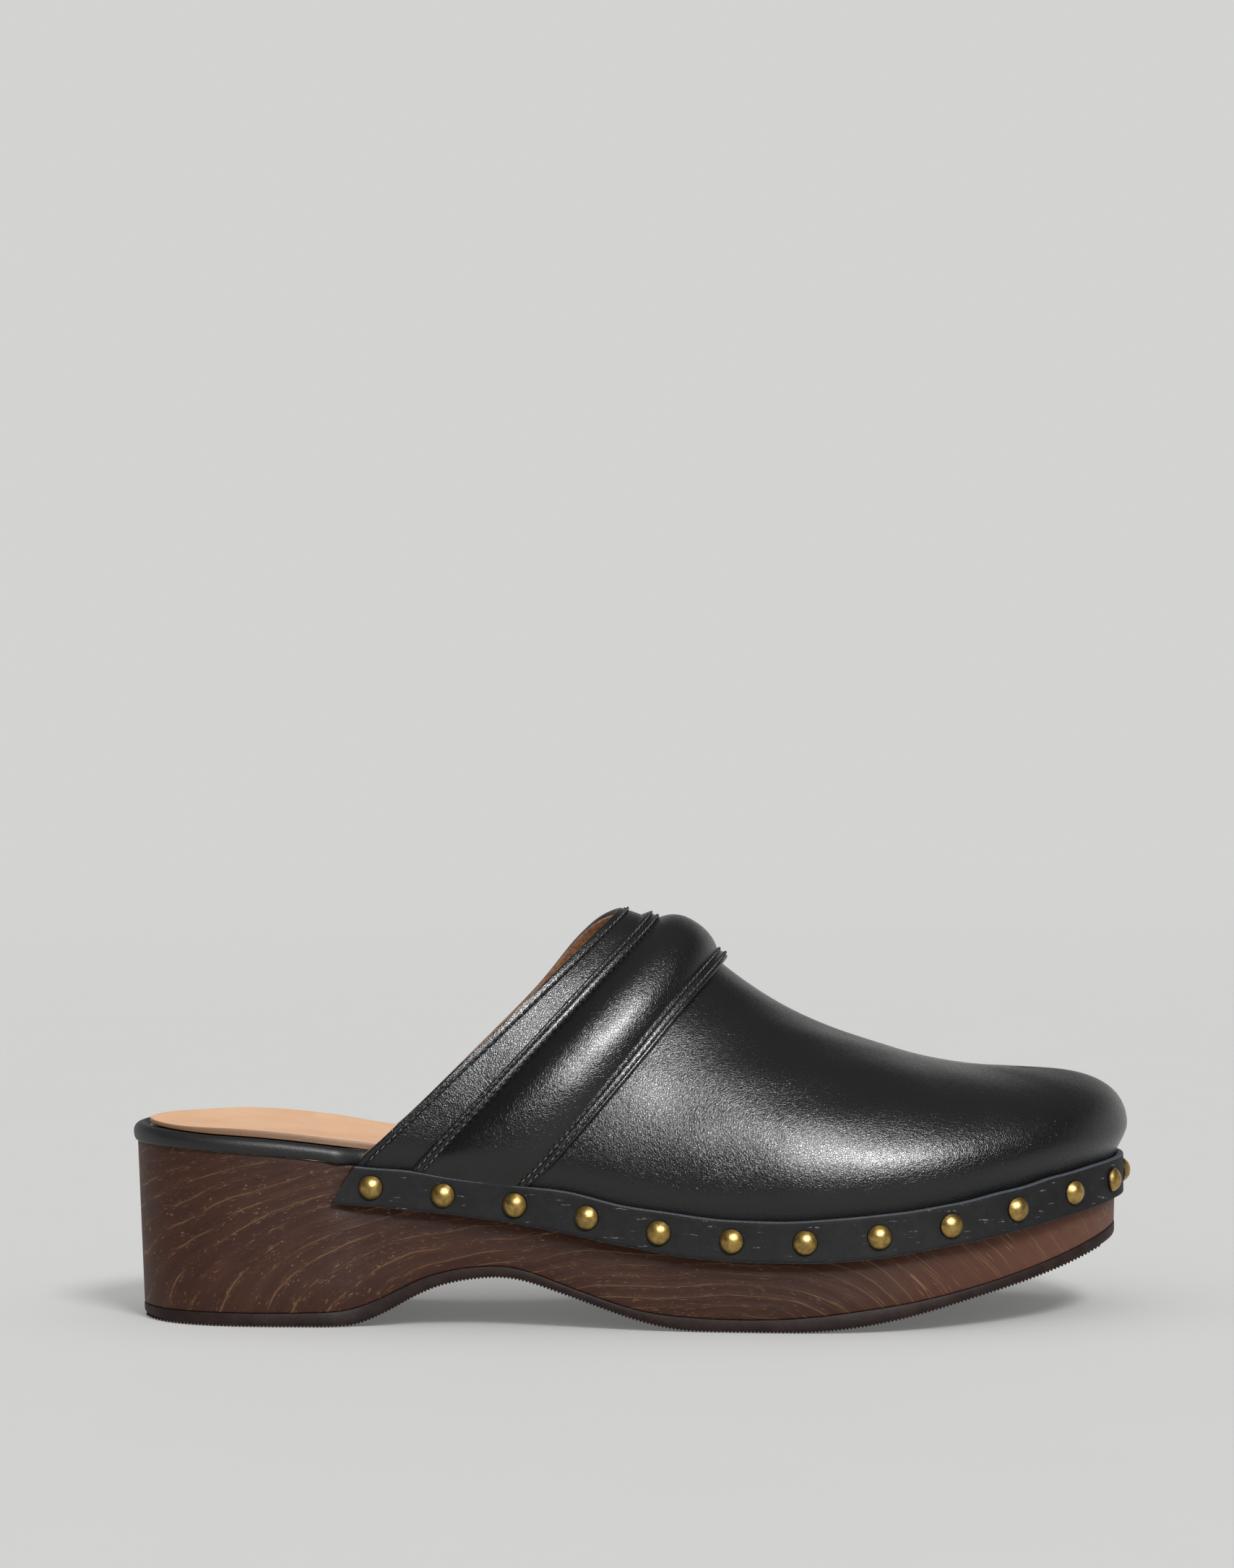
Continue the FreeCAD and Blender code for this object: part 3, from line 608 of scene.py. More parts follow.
def ringAt(insetOf, share):
    # both sides of the outline moved in, at the same places from heel to toe
    p = outline - outward * np.broadcast_to(insetOf(outline[:, 0]), len(outline))[:, None]
    turned = np.vstack([p, p[:1]])
    first, last = int(p[:, 0].argmin()), int(p[:, 0].argmax())
    order = (np.arange(len(p) + 1) + first) % len(p)
    split = (last - first) % len(p)
    outer, inner = turned[order[:split + 1]], turned[order[split:]][::-1]
    x = outer[0, 0] + (outer[-1, 0] - outer[0, 0]) * share
    return x, np.interp(x, outer[:, 0], outer[:, 1]), np.interp(x, inner[:, 0], inner[:, 1])


def layerStations():
    even = (1 - np.cos(np.linspace(0, math.pi, solePlan["stations"] + 1))) / 2
    close = (np.linspace(-79, -68, 44) - outline[:, 0].min()) / np.ptp(outline[:, 0])
    return np.unique(np.concatenate([even, close]).round(7))


def makeLayer(name, layers, capHeight=None, edgeOf=None):
    # layers are (inset of x, height of x) pairs; capHeight changes the top's height by place across
    share = layerStations()
    count = len(share)
    points, edge = [], []
    for k, (insetOf, zOf) in enumerate(layers):
        x, yOut, yIn = ringAt(insetOf, share)
        ring = np.concatenate([np.stack([x, yOut, zOf(x)], 1), np.stack([x, yIn, zOf(x)], 1)[-2:0:-1]])
        points.append(ring)
        edge.append(np.full(len(ring), edgeOf[k] if edgeOf else 0.0))
    ringSize = len(points[0])
    faces = gridFaces(len(layers), ringSize, wrap=True)
    used = len(layers) * ringSize
    for k, (insetOf, zOf) in ((0, layers[0]), (len(layers) - 1, layers[-1])):
        x, yOut, yIn = ringAt(insetOf, share)
        t = np.linspace(0, 1, solePlan["capSteps"] + 1)
        t = t + 0.06 * np.sin(2 * math.pi * t) * -1
        y = yOut[:, None] + (yIn - yOut)[:, None] * t
        z = np.repeat(zOf(x)[:, None], len(t), 1)
        if k and capHeight:
            z = z + capHeight(x[:, None], np.broadcast_to(2 * t - 1, z.shape), (yIn - yOut)[:, None])
        cap = np.stack([np.repeat(x[:, None], len(t), 1), y, z], -1)
        points.append(cap.reshape(-1, 3))
        edge.append(np.full(cap.shape[0] * cap.shape[1], edgeOf[k] if edgeOf and not k else 0.0))
        faces += gridFaces(count, len(t), first=used)
        used += cap.shape[0] * cap.shape[1]
    attributes = {"edge": np.concatenate(edge)} if edgeOf else None
    return makePiece(name, np.concatenate(points), faces, attributes)


def woodInsetAt(x, z):
    full = (z - woodBottom(x)) / 44.0
    inset = woodOutline(x) + solePlan["taper"] * (1 - full)
    (lowX, lowZ), (highX, highZ) = stripEnd["bottom"], stripEnd["top"]
    endX = lowX + (highX - lowX) * (z - lowZ) / (highZ - lowZ)
    behindStrip = (x > endX + 0.1) & (z > stripBottom(x) + 0.01)
    return np.where(behindStrip, solePlan["rebate"], inset)


def makeWoodSole():
    layers = []

    def layer(zOf, extra=0.0):
        layers.append((lambda x: woodInsetAt(x, zOf(x)) + extra, zOf))
    layer(lambda x: woodBottom(x) + 0.02, 0.55)
    layer(lambda x: woodBottom(x) + 0.18, 0.18)
    layer(lambda x: woodBottom(x) + 0.6)
    for t in (0.25, 0.5, 0.75):
        layer(lambda x, t=t: woodBottom(x) + 0.6 + (stripBottom(x) - woodBottom(x) - 0.6) * t)
    layer(lambda x: stripBottom(x) - 0.35)
    # a fine shadow line under the strip
    layers.append((lambda x: woodInsetAt(x, stripBottom(x) - 0.08) + 0.12 * ease((x + 80) / 8),
                   lambda x: stripBottom(x) - 0.08))
    layer(lambda x: stripBottom(x) + 0.02)
    for t in np.linspace(0.08, 0.94, 14):
        layer(lambda x, t=t: stripBottom(x) + (woodTop(x) - stripBottom(x)) * t)
    layer(lambda x: woodTop(x) - 0.12, 0.15)
    layer(lambda x: woodTop(x), 0.6)
    return dress(makeLayer("woodSole", layers), finishes["wood"], "stained_wood", "wood_sole")


def makeOutsole():
    plain = lambda x: woodOutline(x) + solePlan["taper"] - 0.1
    toEnd = lambda x: ease((-118 - x) / 12)     # the heel's back corner is rounded off
    layers = [(lambda x: plain(x) + 0.25 + 1.3 * toEnd(x), lambda x: soleBottom(x) + 0.45),
              (lambda x: plain(x) + 0.05 + 0.45 * toEnd(x), lambda x: soleBottom(x) + 0.85),
              (lambda x: plain(x) + 0.08 * toEnd(x), lambda x: soleBottom(x) + 1.5),
              (plain, lambda x: woodBottom(x) - 0.25),
              (lambda x: plain(x) + 0.15, lambda x: woodBottom(x) - 0.02)]
    return dress(makeLayer("outsole", layers), finishes["rubber"], "outsole_rubber", "rubber_outsole")


footbed = {"inset": 5.3, "gap": 0.02, "sockInset": 4.2, "sockThick": 1.2, "dish": 1.1, "curl": 0.7,
           "tuck": 0.8, "roll": (-80, 90, 13)}


def edgeCurl(x):
    return footbed["curl"] * ease((x + 122) / 22) * ease((40 - x) / 60)


def dish(x, across, width):
    # the sock sinks a little in the middle, most at the heel
    heelward = 0.55 + 0.45 * ease((-30 - x) / 60)
    return -(footbed["dish"] + edgeCurl(x)) * (1 - np.abs(across) ** 2.2) * heelward * ease(width / 24)


def makeFootbed():
    base = lambda x: stepInset(x, 0.0, footbed["inset"], -76.0, -66.0)
    low = lambda x: woodTop(x) + footbed["gap"]
    high = lambda x: footbedTop(x) - footbed["sockThick"] + 0.05
    half = lambda x: (high(x) - low(x)) / 2
    layers = []
    for degrees in np.linspace(*footbed["roll"]):
        c, s = math.cos(math.radians(degrees)), math.sin(math.radians(degrees))
        layers.append((lambda x, c=c, s=s: base(x) + (footbed["tuck"] if s < 0 else half(x)) * (1 - c),
                       lambda x, s=s: (high(x) + low(x)) / 2 + half(x) * s))
    rim = makeLayer("footbedRim", layers, capHeight=dish)
    return dress(rim, finishes["rim"], "black_leather", "footbed_wrap")


def makeSock():
    base = lambda x: stepInset(x, footbed["sockInset"], footbed["inset"] + 1.2, -80.0, -66.0)
    profile = [(0.3, -1.15, 1), (0.0, -1.0, 1), (0.0, -0.55, 1), (0.03, -0.28, 1), (0.12, -0.1, 0.9),
               (0.32, 0.0, 0.35), (0.8, 0.02, 0)]
    layers = [(lambda x, i=i: base(x) + i,
               lambda x, z=z: footbedTop(x) + z + edgeCurl(x) * ease((z + 1.0) / 0.9)) for i, z, _ in profile]
    sock = makeLayer("sockLining", layers, capHeight=dish, edgeOf=[e for _, _, e in profile])
    return dress(sock, finishes["sock"], "sock_leather", "sock_lining")


makeWoodSole()
makeOutsole()
makeFootbed()
makeSock()


# Tack places: one at the toe and an even row down each side.
tacks = {"perSide": 12, "rearX": -66.1, "toeShift": 3.0, "radius": 3.25, "height": 2.3, "segments": 28,
         "rings": 8, "tilt": 0.05, "seed": 4, "sink": 0.3}


def tackPlaces():
    toeSteps = tacks["toeShift"] / np.linalg.norm(outline[1] - outline[0])
    found = {"tackToe": [toeAt + toeSteps]}
    for name, side in (("tacksOuterSide", -1), ("tacksInnerSide", 1)):
        end, k = placeOfX(side, tacks["rearX"]), np.arange(1, tacks["perSide"] + 1) / tacks["perSide"]
        found[name] = list(toeAt + (end - toeAt) * k + toeSteps * (1 - k) ** 3)
    placed = {}
    for name, places in found.items():
        p, out = outlineAt(np.array(places))
        middle = (np.interp(p[:, 0], *zip(*stripTopXZ)) + np.interp(p[:, 0], *zip(*stripBottomXZ))) / 2
        placed[name] = (np.column_stack([p, middle]), np.column_stack([out, np.zeros(len(out))]))
    return placed


tackAt = tackPlaces()
tackCentres = np.vstack([p for p, _ in tackAt.values()])


# Welt strip: a band with slanted ends, pressed in a little round each tack.
welt = {"columns": 760, "round": 0.35, "dimple": 0.30, "wave": 0.12}


def makeStrip():
    thick, r = strip["thick"], welt["round"]
    side = [(0.0, q, 0.0) for q in np.linspace(0.045, 0.955, 17)]
    section = [(r, 0.0, 0.75), (0.1, 0.012, 0.5)] + side + \
              [(0.07, 0.985, 0.85), (0.28, 1.0, 1.0), (0.8, 1.003, 1.0), (1.4, 1.003, 1.0),
               (thick - 0.3, 0.997, 1.0), (thick, 0.96, 0.3), (thick, 0.5, 0.0), (thick, 0.04, 0.0),
               (thick - r, 0.0, 0.6), (1.0, 0.0, 0.75)]
    inset, level, edge = (np.array(c) for c in zip(*section))
    (lowX, lowZ), (highX, highZ) = stripEnd["bottom"], stripEnd["top"]
    startX = lowX + (highX - lowX) * level
    start, end = placeOfX(-1, startX), placeOfX(1, startX)
    u = np.linspace(0, 1, welt["columns"])[:, None]
    base, out = outlineAt(start + (end - start) * u)
    x = base[..., 0]
    low, high = stripBottom(x), stripTop(x)
    z = low + (high - low) * level
    flat = np.concatenate([base, z[..., None]], -1)
    away = np.linalg.norm(flat[:, :, None, :] - tackCentres[None, None], axis=-1).min(-1)
    press = welt["dimple"] * np.exp(-(away / 4.6) ** 2)
    swell = softNoise(flat * (1, 1, 0.6), 24, 3) * welt["wave"] * (inset < 1)
    z = z + softNoise(flat * (1, 1, 0), 15, 8) * 0.16 * (level > 0.9)
    z = z + softNoise(flat * (1, 1, 0), 19, 9) * 0.14 * (level < 0.1)
    p = base - out * (inset + (inset < 1) * press - swell + 0.12 * (inset < 1))[..., None]
    points = np.concatenate([p, z[..., None]], -1)
    faces = gridFaces(points.shape[0], points.shape[1], wrap=True)
    last = (points.shape[0] - 1) * points.shape[1]
    faces += [list(range(points.shape[1])), list(range(last, last + points.shape[1]))]
    thing = makePiece("weltStrip", points, faces, {"edge": np.tile(edge, (points.shape[0], 1))}, sharp=60)
    return dress(thing, finishes["strip"], "strip_leather", "welt_strip")


makeStrip()


# Upper
upper = {"thick": 1.6, "liningThick": 0.8, "stitchFromEdge": 2.2, "groove": 0.20, "edgeRound": 0.45,
         "across": 181, "columns": 130}


def hemClosed(loops, count):
    # faces that close a slab along one row, whose first half is its outside and second half its inside
    return [[loops + k, loops + k + 1, loops + count - 2 - k, loops + count - 1 - k]
            for k in range(count // 2 - 1)]


def makeSlab(name, across, share, height, hems=True):
    p, n = skinAt(share, np.repeat(across[:, None], share.shape[1], 1))
    points = p + n * height[..., None]
    count = share.shape[1]
    faces = gridFaces(len(across), count, wrap=not hems)
    if hems:
        faces += hemClosed(0, count) + hemClosed((len(across) - 1) * count, count)
    else:
        last = (len(across) - 1) * count
        faces += [list(range(count)), list(range(last, last + count))]
    return makePiece(name, points, faces)


def rowsAcross(count):
    # closer together at the hems, where the upper turns in
    t = np.linspace(0, 1, count)
    return 2 * (t - 0.10 * np.sin(2 * math.pi * t) / (2 * math.pi))


def makeVamp():
    across = rowsAcross(upper["across"])
    r, thick = upper["edgeRound"], upper["thick"]
    stops = [r, 0.7, 1.1, 1.5, 1.8, 2.0, 2.2, 2.4, 2.65, 3.0, 3.6, 4.4, 5.4]
    near = shareFromTopline(across, np.array([0, 0.13] + stops))
    t = np.linspace(0, 1, upper["columns"] - len(stops) + 1)[1:]
    far = near[:, -1:] + (1 - near[:, -1:]) * t
    outerShare = np.concatenate([near[:, 2:], far], 1)
    d = np.array(stops + [99] * len(t))
    groove = -upper["groove"] * np.exp(-((d - upper["stitchFromEdge"]) / 0.32) ** 2) + 0 * across[:, None]
    p, _ = skinAt(outerShare, np.repeat(across[:, None], outerShare.shape[1], 1))
    rise = np.minimum(across, 2 - across)[:, None]
    wrinkle = softNoise(p, 21, 5) * 0.14 * ease((rise - 0.2) / 0.2)
    wrinkle = wrinkle * (1 - ease((outerShare - 0.55) / 0.3) * 0.6)
    k = (r - r * math.sin(math.pi / 4), r)
    turn = lambda columns: np.concatenate(columns, 1)
    one = np.ones((len(across), 1))
    share = turn([outerShare[:, ::-1], near[:, 1:2], near[:, :1], near[:, :1], near[:, 1:2], outerShare])
    height = turn([(groove + wrinkle)[:, ::-1], one * -k[0], one * -k[1], one * (k[1] - thick),
                   one * (k[0] - thick), groove * 0 - thick])
    return dress(makeSlab("vampLeather", across, share, height), finishes["upper"], "black_leather", "vamp")


def makeLining():
    across = rowsAcross(121)
    near = shareFromTopline(across, np.array([0.05, 0.3, 1.0]))
    t = np.linspace(0, 1, 60)[1:]
    far = near[:, -1:] + (1 - near[:, -1:]) * t
    share = np.concatenate([near[:, 1:], far], 1)
    drop = 0.83 * ease((share - 0.5) / 0.12)
    first = -upper["thick"] - 0.02
    top = first - drop
    one = np.ones((len(across), 1))
    shares = np.concatenate([share[:, ::-1], near[:, :1], near[:, :1], share], 1)
    heights = np.concatenate([top[:, ::-1], one * (first - 0.12), one * (first - 0.62),
                              top - upper["liningThick"]], 1)
    lining = makeSlab("liningLeather", across, shares, heights)
    return dress(lining, finishes["lining"], "lining_leather", "vamp_lining")


# Instep strap: a padded band with two rows of stitches along each edge.
strap = {"rear": (0.041, 0.040), "front": (0.181, 0.262), "firstRow": 2.6, "rearEdge": 1.35,
         "frontEdge": (1.5, 2.7), "thick": 2.75, "padRise": 2.3, "padStart": 3.7, "stitchRows": (1.15, 2.95),
         "groove": 0.2, "edgeRound": 0.6, "along": 241}


def strapLines(across):
    # shares of both edges, and the row, at places across
    row = 1 + 14 * np.minimum(across, 2 - across)
    t = np.clip((row - strap["firstRow"]) / (rows - strap["firstRow"]), 0, 1)
    edges = [pair[0] + (pair[1] - pair[0]) * t for pair in (strap["rear"], strap["front"])]
    return edges[0], edges[1], row


def strapHeight(fromRear, width, row, p):
    # how far the strap's face stands off the vamp: flat stitched edges, and a pillow between them
    d = np.minimum(fromRear, width - fromRear)
    frontEdge = strap["frontEdge"][0] + (strap["frontEdge"][1] - strap["frontEdge"][0]) * ease((row - 8) / 8)
    edge = strap["rearEdge"] + (frontEdge - strap["rearEdge"]) * ease(fromRear / width)
    r = strap["edgeRound"]
    corner = r - np.sqrt(np.maximum(r * r - np.maximum(r - d, 0) ** 2, 0))
    groove = sum(np.exp(-((d - at) / 0.26) ** 2) for at in strap["stitchRows"]) * strap["groove"]
    inner = np.clip((d - strap["padStart"]) / np.maximum(width / 2 - strap["padStart"], 1), 0, 1)
    pillow = (1 - (1 - inner) ** 2.3) ** 0.9
    full = strap["thick"] - edge + strap["padRise"] * ease((row - 3.0) / 4.5)
    soft = softNoise(p, 18, 12) * 0.10 * ease(d / 6)
    return edge - corner - groove + full * pillow * ease((row - 1.5) / 4) + soft


def makeStrap():
    first = (strap["firstRow"] - 1) / 14
    across = np.linspace(first, 2 - first, strap["along"])
    rear, front, row = strapLines(across)
    edgeStops = np.array([0, 0.05, 0.15, 0.3, 0.6, 0.8, 0.97, 1.15, 1.33, 1.5, 2.1, 2.6, 2.78, 2.95, 3.12,
                          3.3, 3.7, 4.2, 5.0, 6.0, 7.0])
    _, width = shareAtDistance(rear, front, across, np.array([0.0]))
    middle = np.linspace(0, 1, 13)[1:-1]
    w = width[:, None]
    stops = np.concatenate([edgeStops + 0 * w, edgeStops[-1] + (w - 2 * edgeStops[-1]) * middle,
                            w - edgeStops[::-1]], 1)
    top, _ = shareAtDistance(rear, front, across, stops)
    under = np.concatenate([w, w - 0.5, w - 3, w * 0.66, w * 0.33, 3 + 0 * w, 0.5 + 0 * w, 0 * w], 1)
    below, _ = shareAtDistance(rear, front, across, under)
    p, _ = skinAt(top, np.repeat(across[:, None], top.shape[1], 1))
    topHeight = strapHeight(stops, w, row[:, None], p)
    lowHeight = np.array([0.4, 0.1, 0.1, 0.1, 0.1, 0.1, 0.1, 0.4]) + 0 * w
    thing = makeSlab("instepStrap", across, np.concatenate([top, below], 1),
                     np.concatenate([topHeight, lowHeight], 1), hems=False)
    dress(thing, finishes["upper"], "black_leather", "instep_strap", "strap_padding")
    return thing


makeVamp()
makeLining()
makeStrap()


# Node groups for what repeats
def makeGroup(name, inputs):
    group = bpy.data.node_groups.new(name, "GeometryNodeTree")
    group.interface.new_socket("Geometry", in_out="INPUT", socket_type="NodeSocketGeometry")
    group.interface.new_socket("Geometry", in_out="OUTPUT", socket_type="NodeSocketGeometry")
    for key, kind, value in inputs:
        socket = group.interface.new_socket(key, in_out="INPUT", socket_type="NodeSocket" + kind)
        if value is not None:
            socket.default_value = value
    graph = Graph(group)
    start = group.nodes.new("NodeGroupInput")
    return graph, lambda key: Wire(graph, start.outputs[key])


def finishGroup(graph, geometry, material):
    real = graph.add("GeometryNodeRealizeInstances", None, {"Geometry": geometry})
    painted = graph.add("GeometryNodeSetMaterial", None, {"Geometry": real, "Material": material})
    graph.add("NodeGroupOutput", None, {0: painted})
    return graph.tree


def runGroup(thing, group, values):
    modifier = thing.modifiers.new(group.name, "NODES")
    modifier.node_group = group
    for socket in group.interface.items_tree:
        if socket.item_type == "SOCKET" and socket.in_out == "INPUT" and socket.name in values:
            modifier[socket.identifier] = values[socket.name]
    return settle(thing)


def pathObject(name, points, vectors, edges=()):
    # bare points in place, each with a direction
    mesh = bpy.data.meshes.new(name)
    mesh.from_pydata(((points + shift) * 0.001).tolist(), list(edges), [])
    for key, values in vectors.items():
        kind, field = ("FLOAT_VECTOR", "vector") if np.ndim(values) == 2 else ("FLOAT", "value")
        layer = mesh.attributes.new(key, kind, "POINT")
        layer.data.foreach_set(field, np.asarray(values, np.float32).ravel())
    thing = bpy.data.objects.new(name, mesh)
    bpy.context.scene.collection.objects.link(thing)
    return thing


# Stitches: short arched lengths of waxed thread, one after the other along each row.
stitch = {"Pitch": 0.0021, "Length": 0.00130, "Thickness": 0.00034, "Arch": 0.00060, "Sink": 0.00012,
          "Seed": 7}


def stitchGroup():
    graph, given = makeGroup("stitchRow", [("Pitch", "Float", 0.002), ("Length", "Float", 0.0017),
                                           ("Thickness", "Float", 0.0003), ("Arch", "Float", 0.0004),
                                           ("Sink", "Float", 0.0001), ("Seed", "Int", 1),
                                           ("Thread", "Material", None)])
    line = graph.add("GeometryNodeMeshToCurve", None, {"Mesh": given("Geometry")})
    spaced = graph.add("GeometryNodeResampleCurve", {"mode": "LENGTH"},
                       {"Curve": line, "Length": given("Pitch")})
    up = graph.add("GeometryNodeInputNamedAttribute", {"data_type": "FLOAT_VECTOR"}, {"Name": "up"})
    turn = graph.add("FunctionNodeAxesToRotation", {"primary_axis": "X", "secondary_axis": "Z"},
                     {"Primary Axis": graph.add("GeometryNodeInputTangent"), "Secondary Axis": up})
    half = given("Length") * 0.5
    start = graph.add("ShaderNodeCombineXYZ", None, {0: half * -1, 2: given("Sink") * -1})
    top = graph.add("ShaderNodeCombineXYZ", None, {2: given("Arch") * 2})
    end = graph.add("ShaderNodeCombineXYZ", None, {0: half, 2: given("Sink") * -1})
    bow = graph.add("GeometryNodeCurveQuadraticBezier", None,
                    {"Resolution": 4, "Start": start, "Middle": top, "End": end})
    ring = graph.add("GeometryNodeCurvePrimitiveCircle", None,
                     {"Resolution": 6, "Radius": given("Thickness")})
    thread = graph.add("GeometryNodeCurveToMesh", None,
                       {"Curve": bow, "Profile Curve": ring, "Fill Caps": True})
    thread = graph.add("GeometryNodeSetShadeSmooth", None, {"Geometry": thread})
    size = graph.add("FunctionNodeRandomValue", {"data_type": "FLOAT"},
                     {2: 0.93, 3: 1.05, "Seed": given("Seed")}, 1)
    placed = graph.add("GeometryNodeInstanceOnPoints", None,
                       {"Points": spaced, "Instance": thread, "Rotation": turn, "Scale": size})
    return finishGroup(graph, placed, given("Thread"))


stitchRows = stitchGroup()


def makeStitches(name, lines, node):
    points, ups, edges = [], [], []
    for p, n in lines:
        first = sum(len(q) for q in points)
        points.append(p)
        ups.append(n)
        edges += [(first + k, first + k + 1) for k in range(len(p) - 1)]
    thing = pathObject(name, np.vstack(points), {"up": np.vstack(ups)}, edges)
    runGroup(thing, stitchRows, dict(stitch, Thread=finishes["thread"]))
    return dress(thing, finishes["thread"], "black_thread", node)


def lineOnSkin(across, shares, height):
    p, n = skinAt(shares, across)
    return p + n * np.asarray(height)[..., None], n


def makeAllStitches():
    count = 600
    across = np.linspace(0.175, 1.825, count)
    shares = shareFromTopline(across, np.array([upper["stitchFromEdge"]]))
    topline = lineOnSkin(across, shares[:, 0], np.full(count, -0.02))
    makeStitches("toplineStitches", [topline], "topline_thread")
    across = np.linspace(0.165, 1.835, count)
    rear, front, row = strapLines(across)
    _, width = shareAtDistance(rear, front, across, np.array([0.0]))
    for name, node, fromRear in (("strapRearStitches", "strap_rear_threads", True),
                                 ("strapFrontStitches", "strap_front_threads", False)):
        lines = []
        for d in strap["stitchRows"]:
            at = np.full(count, d) if fromRear else width - d
            shares, _ = shareAtDistance(rear, front, across, at[:, None])
            p, _ = skinAt(shares[:, 0], across)
            lines.append(lineOnSkin(across, shares[:, 0], strapHeight(at, width, row, p) + 0.06))
        makeStitches(name, lines, node)


makeAllStitches()


# Tacks: domed heads on the strip, each tipped a hair its own way.
def makeDome():
    r, h, n = tacks["radius"], tacks["height"], tacks["segments"]
    ball = (r * r + h * h) / (2 * h)
    widest = math.asin(r / ball)
    profile = [(r * 0.55, -0.25), (r * 0.97, -0.12), (r, 0.06)]
    tilts = [widest * k / tacks["rings"] for k in range(tacks["rings"] - 1, 0, -1)]
    profile += [(ball * math.sin(t), h - ball + ball * math.cos(t)) for t in tilts]
    turn = np.linspace(0, 2 * math.pi, n, endpoint=False)
    points = [[(a * math.cos(t), a * math.sin(t), z) for t in turn] for a, z in profile]
    rim = [[min(1.0, max(0.0, (a / r - 0.78) / 0.22)) if k < 4 else 0.0] * n
           for k, (a, _) in enumerate(profile)]
    flat = np.array(points).reshape(-1, 3)
    count = len(flat)
    faces = gridFaces(len(profile), n, wrap=True)
    faces += [[count, k, (k + 1) % n] for k in range(n)]
    top = count - n
    faces += [[count + 1, top + (k + 1) % n, top + k] for k in range(n)]
    mesh = bpy.data.meshes.new("tackDome")
    mesh.from_pydata((np.vstack([flat, [(0, 0, -0.25), (0, 0, h)]]) * 0.001).tolist(), [], faces)
    layer = mesh.attributes.new("rim", "FLOAT", "POINT")
    layer.data.foreach_set("value", np.append(np.array(rim).ravel(), [1.0, 0.0]).astype(np.float32))
    work = bmesh.new()
    work.from_mesh(mesh)
    bmesh.ops.recalc_face_normals(work, faces=work.faces)
    work.to_mesh(mesh)
    work.free()
    mesh.polygons.foreach_set("use_smooth", [True] * len(mesh.polygons))
    thing = bpy.data.objects.new("tackDome", mesh)
    bpy.context.scene.collection.objects.link(thing)
    return thing


def tackGroup():
    graph, given = makeGroup("tackRow", [("Dome", "Object", None), ("Tilt", "Float", 0.05),
                                         ("Seed", "Int", 1), ("Brass", "Material", None)])
    dome = graph.add("GeometryNodeObjectInfo", None, {"Object": given("Dome")}, "Geometry")
    out = graph.add("GeometryNodeInputNamedAttribute", {"data_type": "FLOAT_VECTOR"}, {"Name": "out"})
    low = graph.add("ShaderNodeCombineXYZ", None, {k: given("Tilt") * -1 for k in range(3)})
    high = graph.add("ShaderNodeCombineXYZ", None, {k: given("Tilt") for k in range(3)})
    tip = graph.add("FunctionNodeRandomValue", {"data_type": "FLOAT_VECTOR"},
                    {0: low, 1: high, "Seed": given("Seed")})
    tipped = graph.add("ShaderNodeVectorMath", {"operation": "ADD"}, {0: out, 1: tip})
    turn = graph.add("FunctionNodeAxesToRotation", {"primary_axis": "Z", "secondary_axis": "X"},
                     {"Primary Axis": tipped, "Secondary Axis": (0, 0, 1)})
    placed = graph.add("GeometryNodeInstanceOnPoints", None,
                       {"Points": given("Geometry"), "Instance": dome, "Rotation": turn})
    return finishGroup(graph, placed, given("Brass"))


def makeTacks():
    dome, group = makeDome(), tackGroup()
    pairs = {"tacksOuterSide": "tacks_outer_side", "tackToe": "tack_toe",
             "tacksInnerSide": "tacks_inner_side"}
    for name, (p, out) in tackAt.items():
        thing = pathObject(name, p - out * tacks["sink"], {"out": out})
        runGroup(thing, group, {"Dome": dome, "Tilt": tacks["tilt"], "Seed": tacks["seed"],
                                "Brass": finishes["tack"]})
        dress(thing, finishes["tack"], "tack_brass", pairs[name])
    bpy.data.objects.remove(dome)


makeTacks()


# Tread: fine ribs that run across the rubber from edge to edge.
tread = {"pitch": 0.96, "depth": 0.46, "lift": 0.47, "from": -126.5, "to": 121.0}


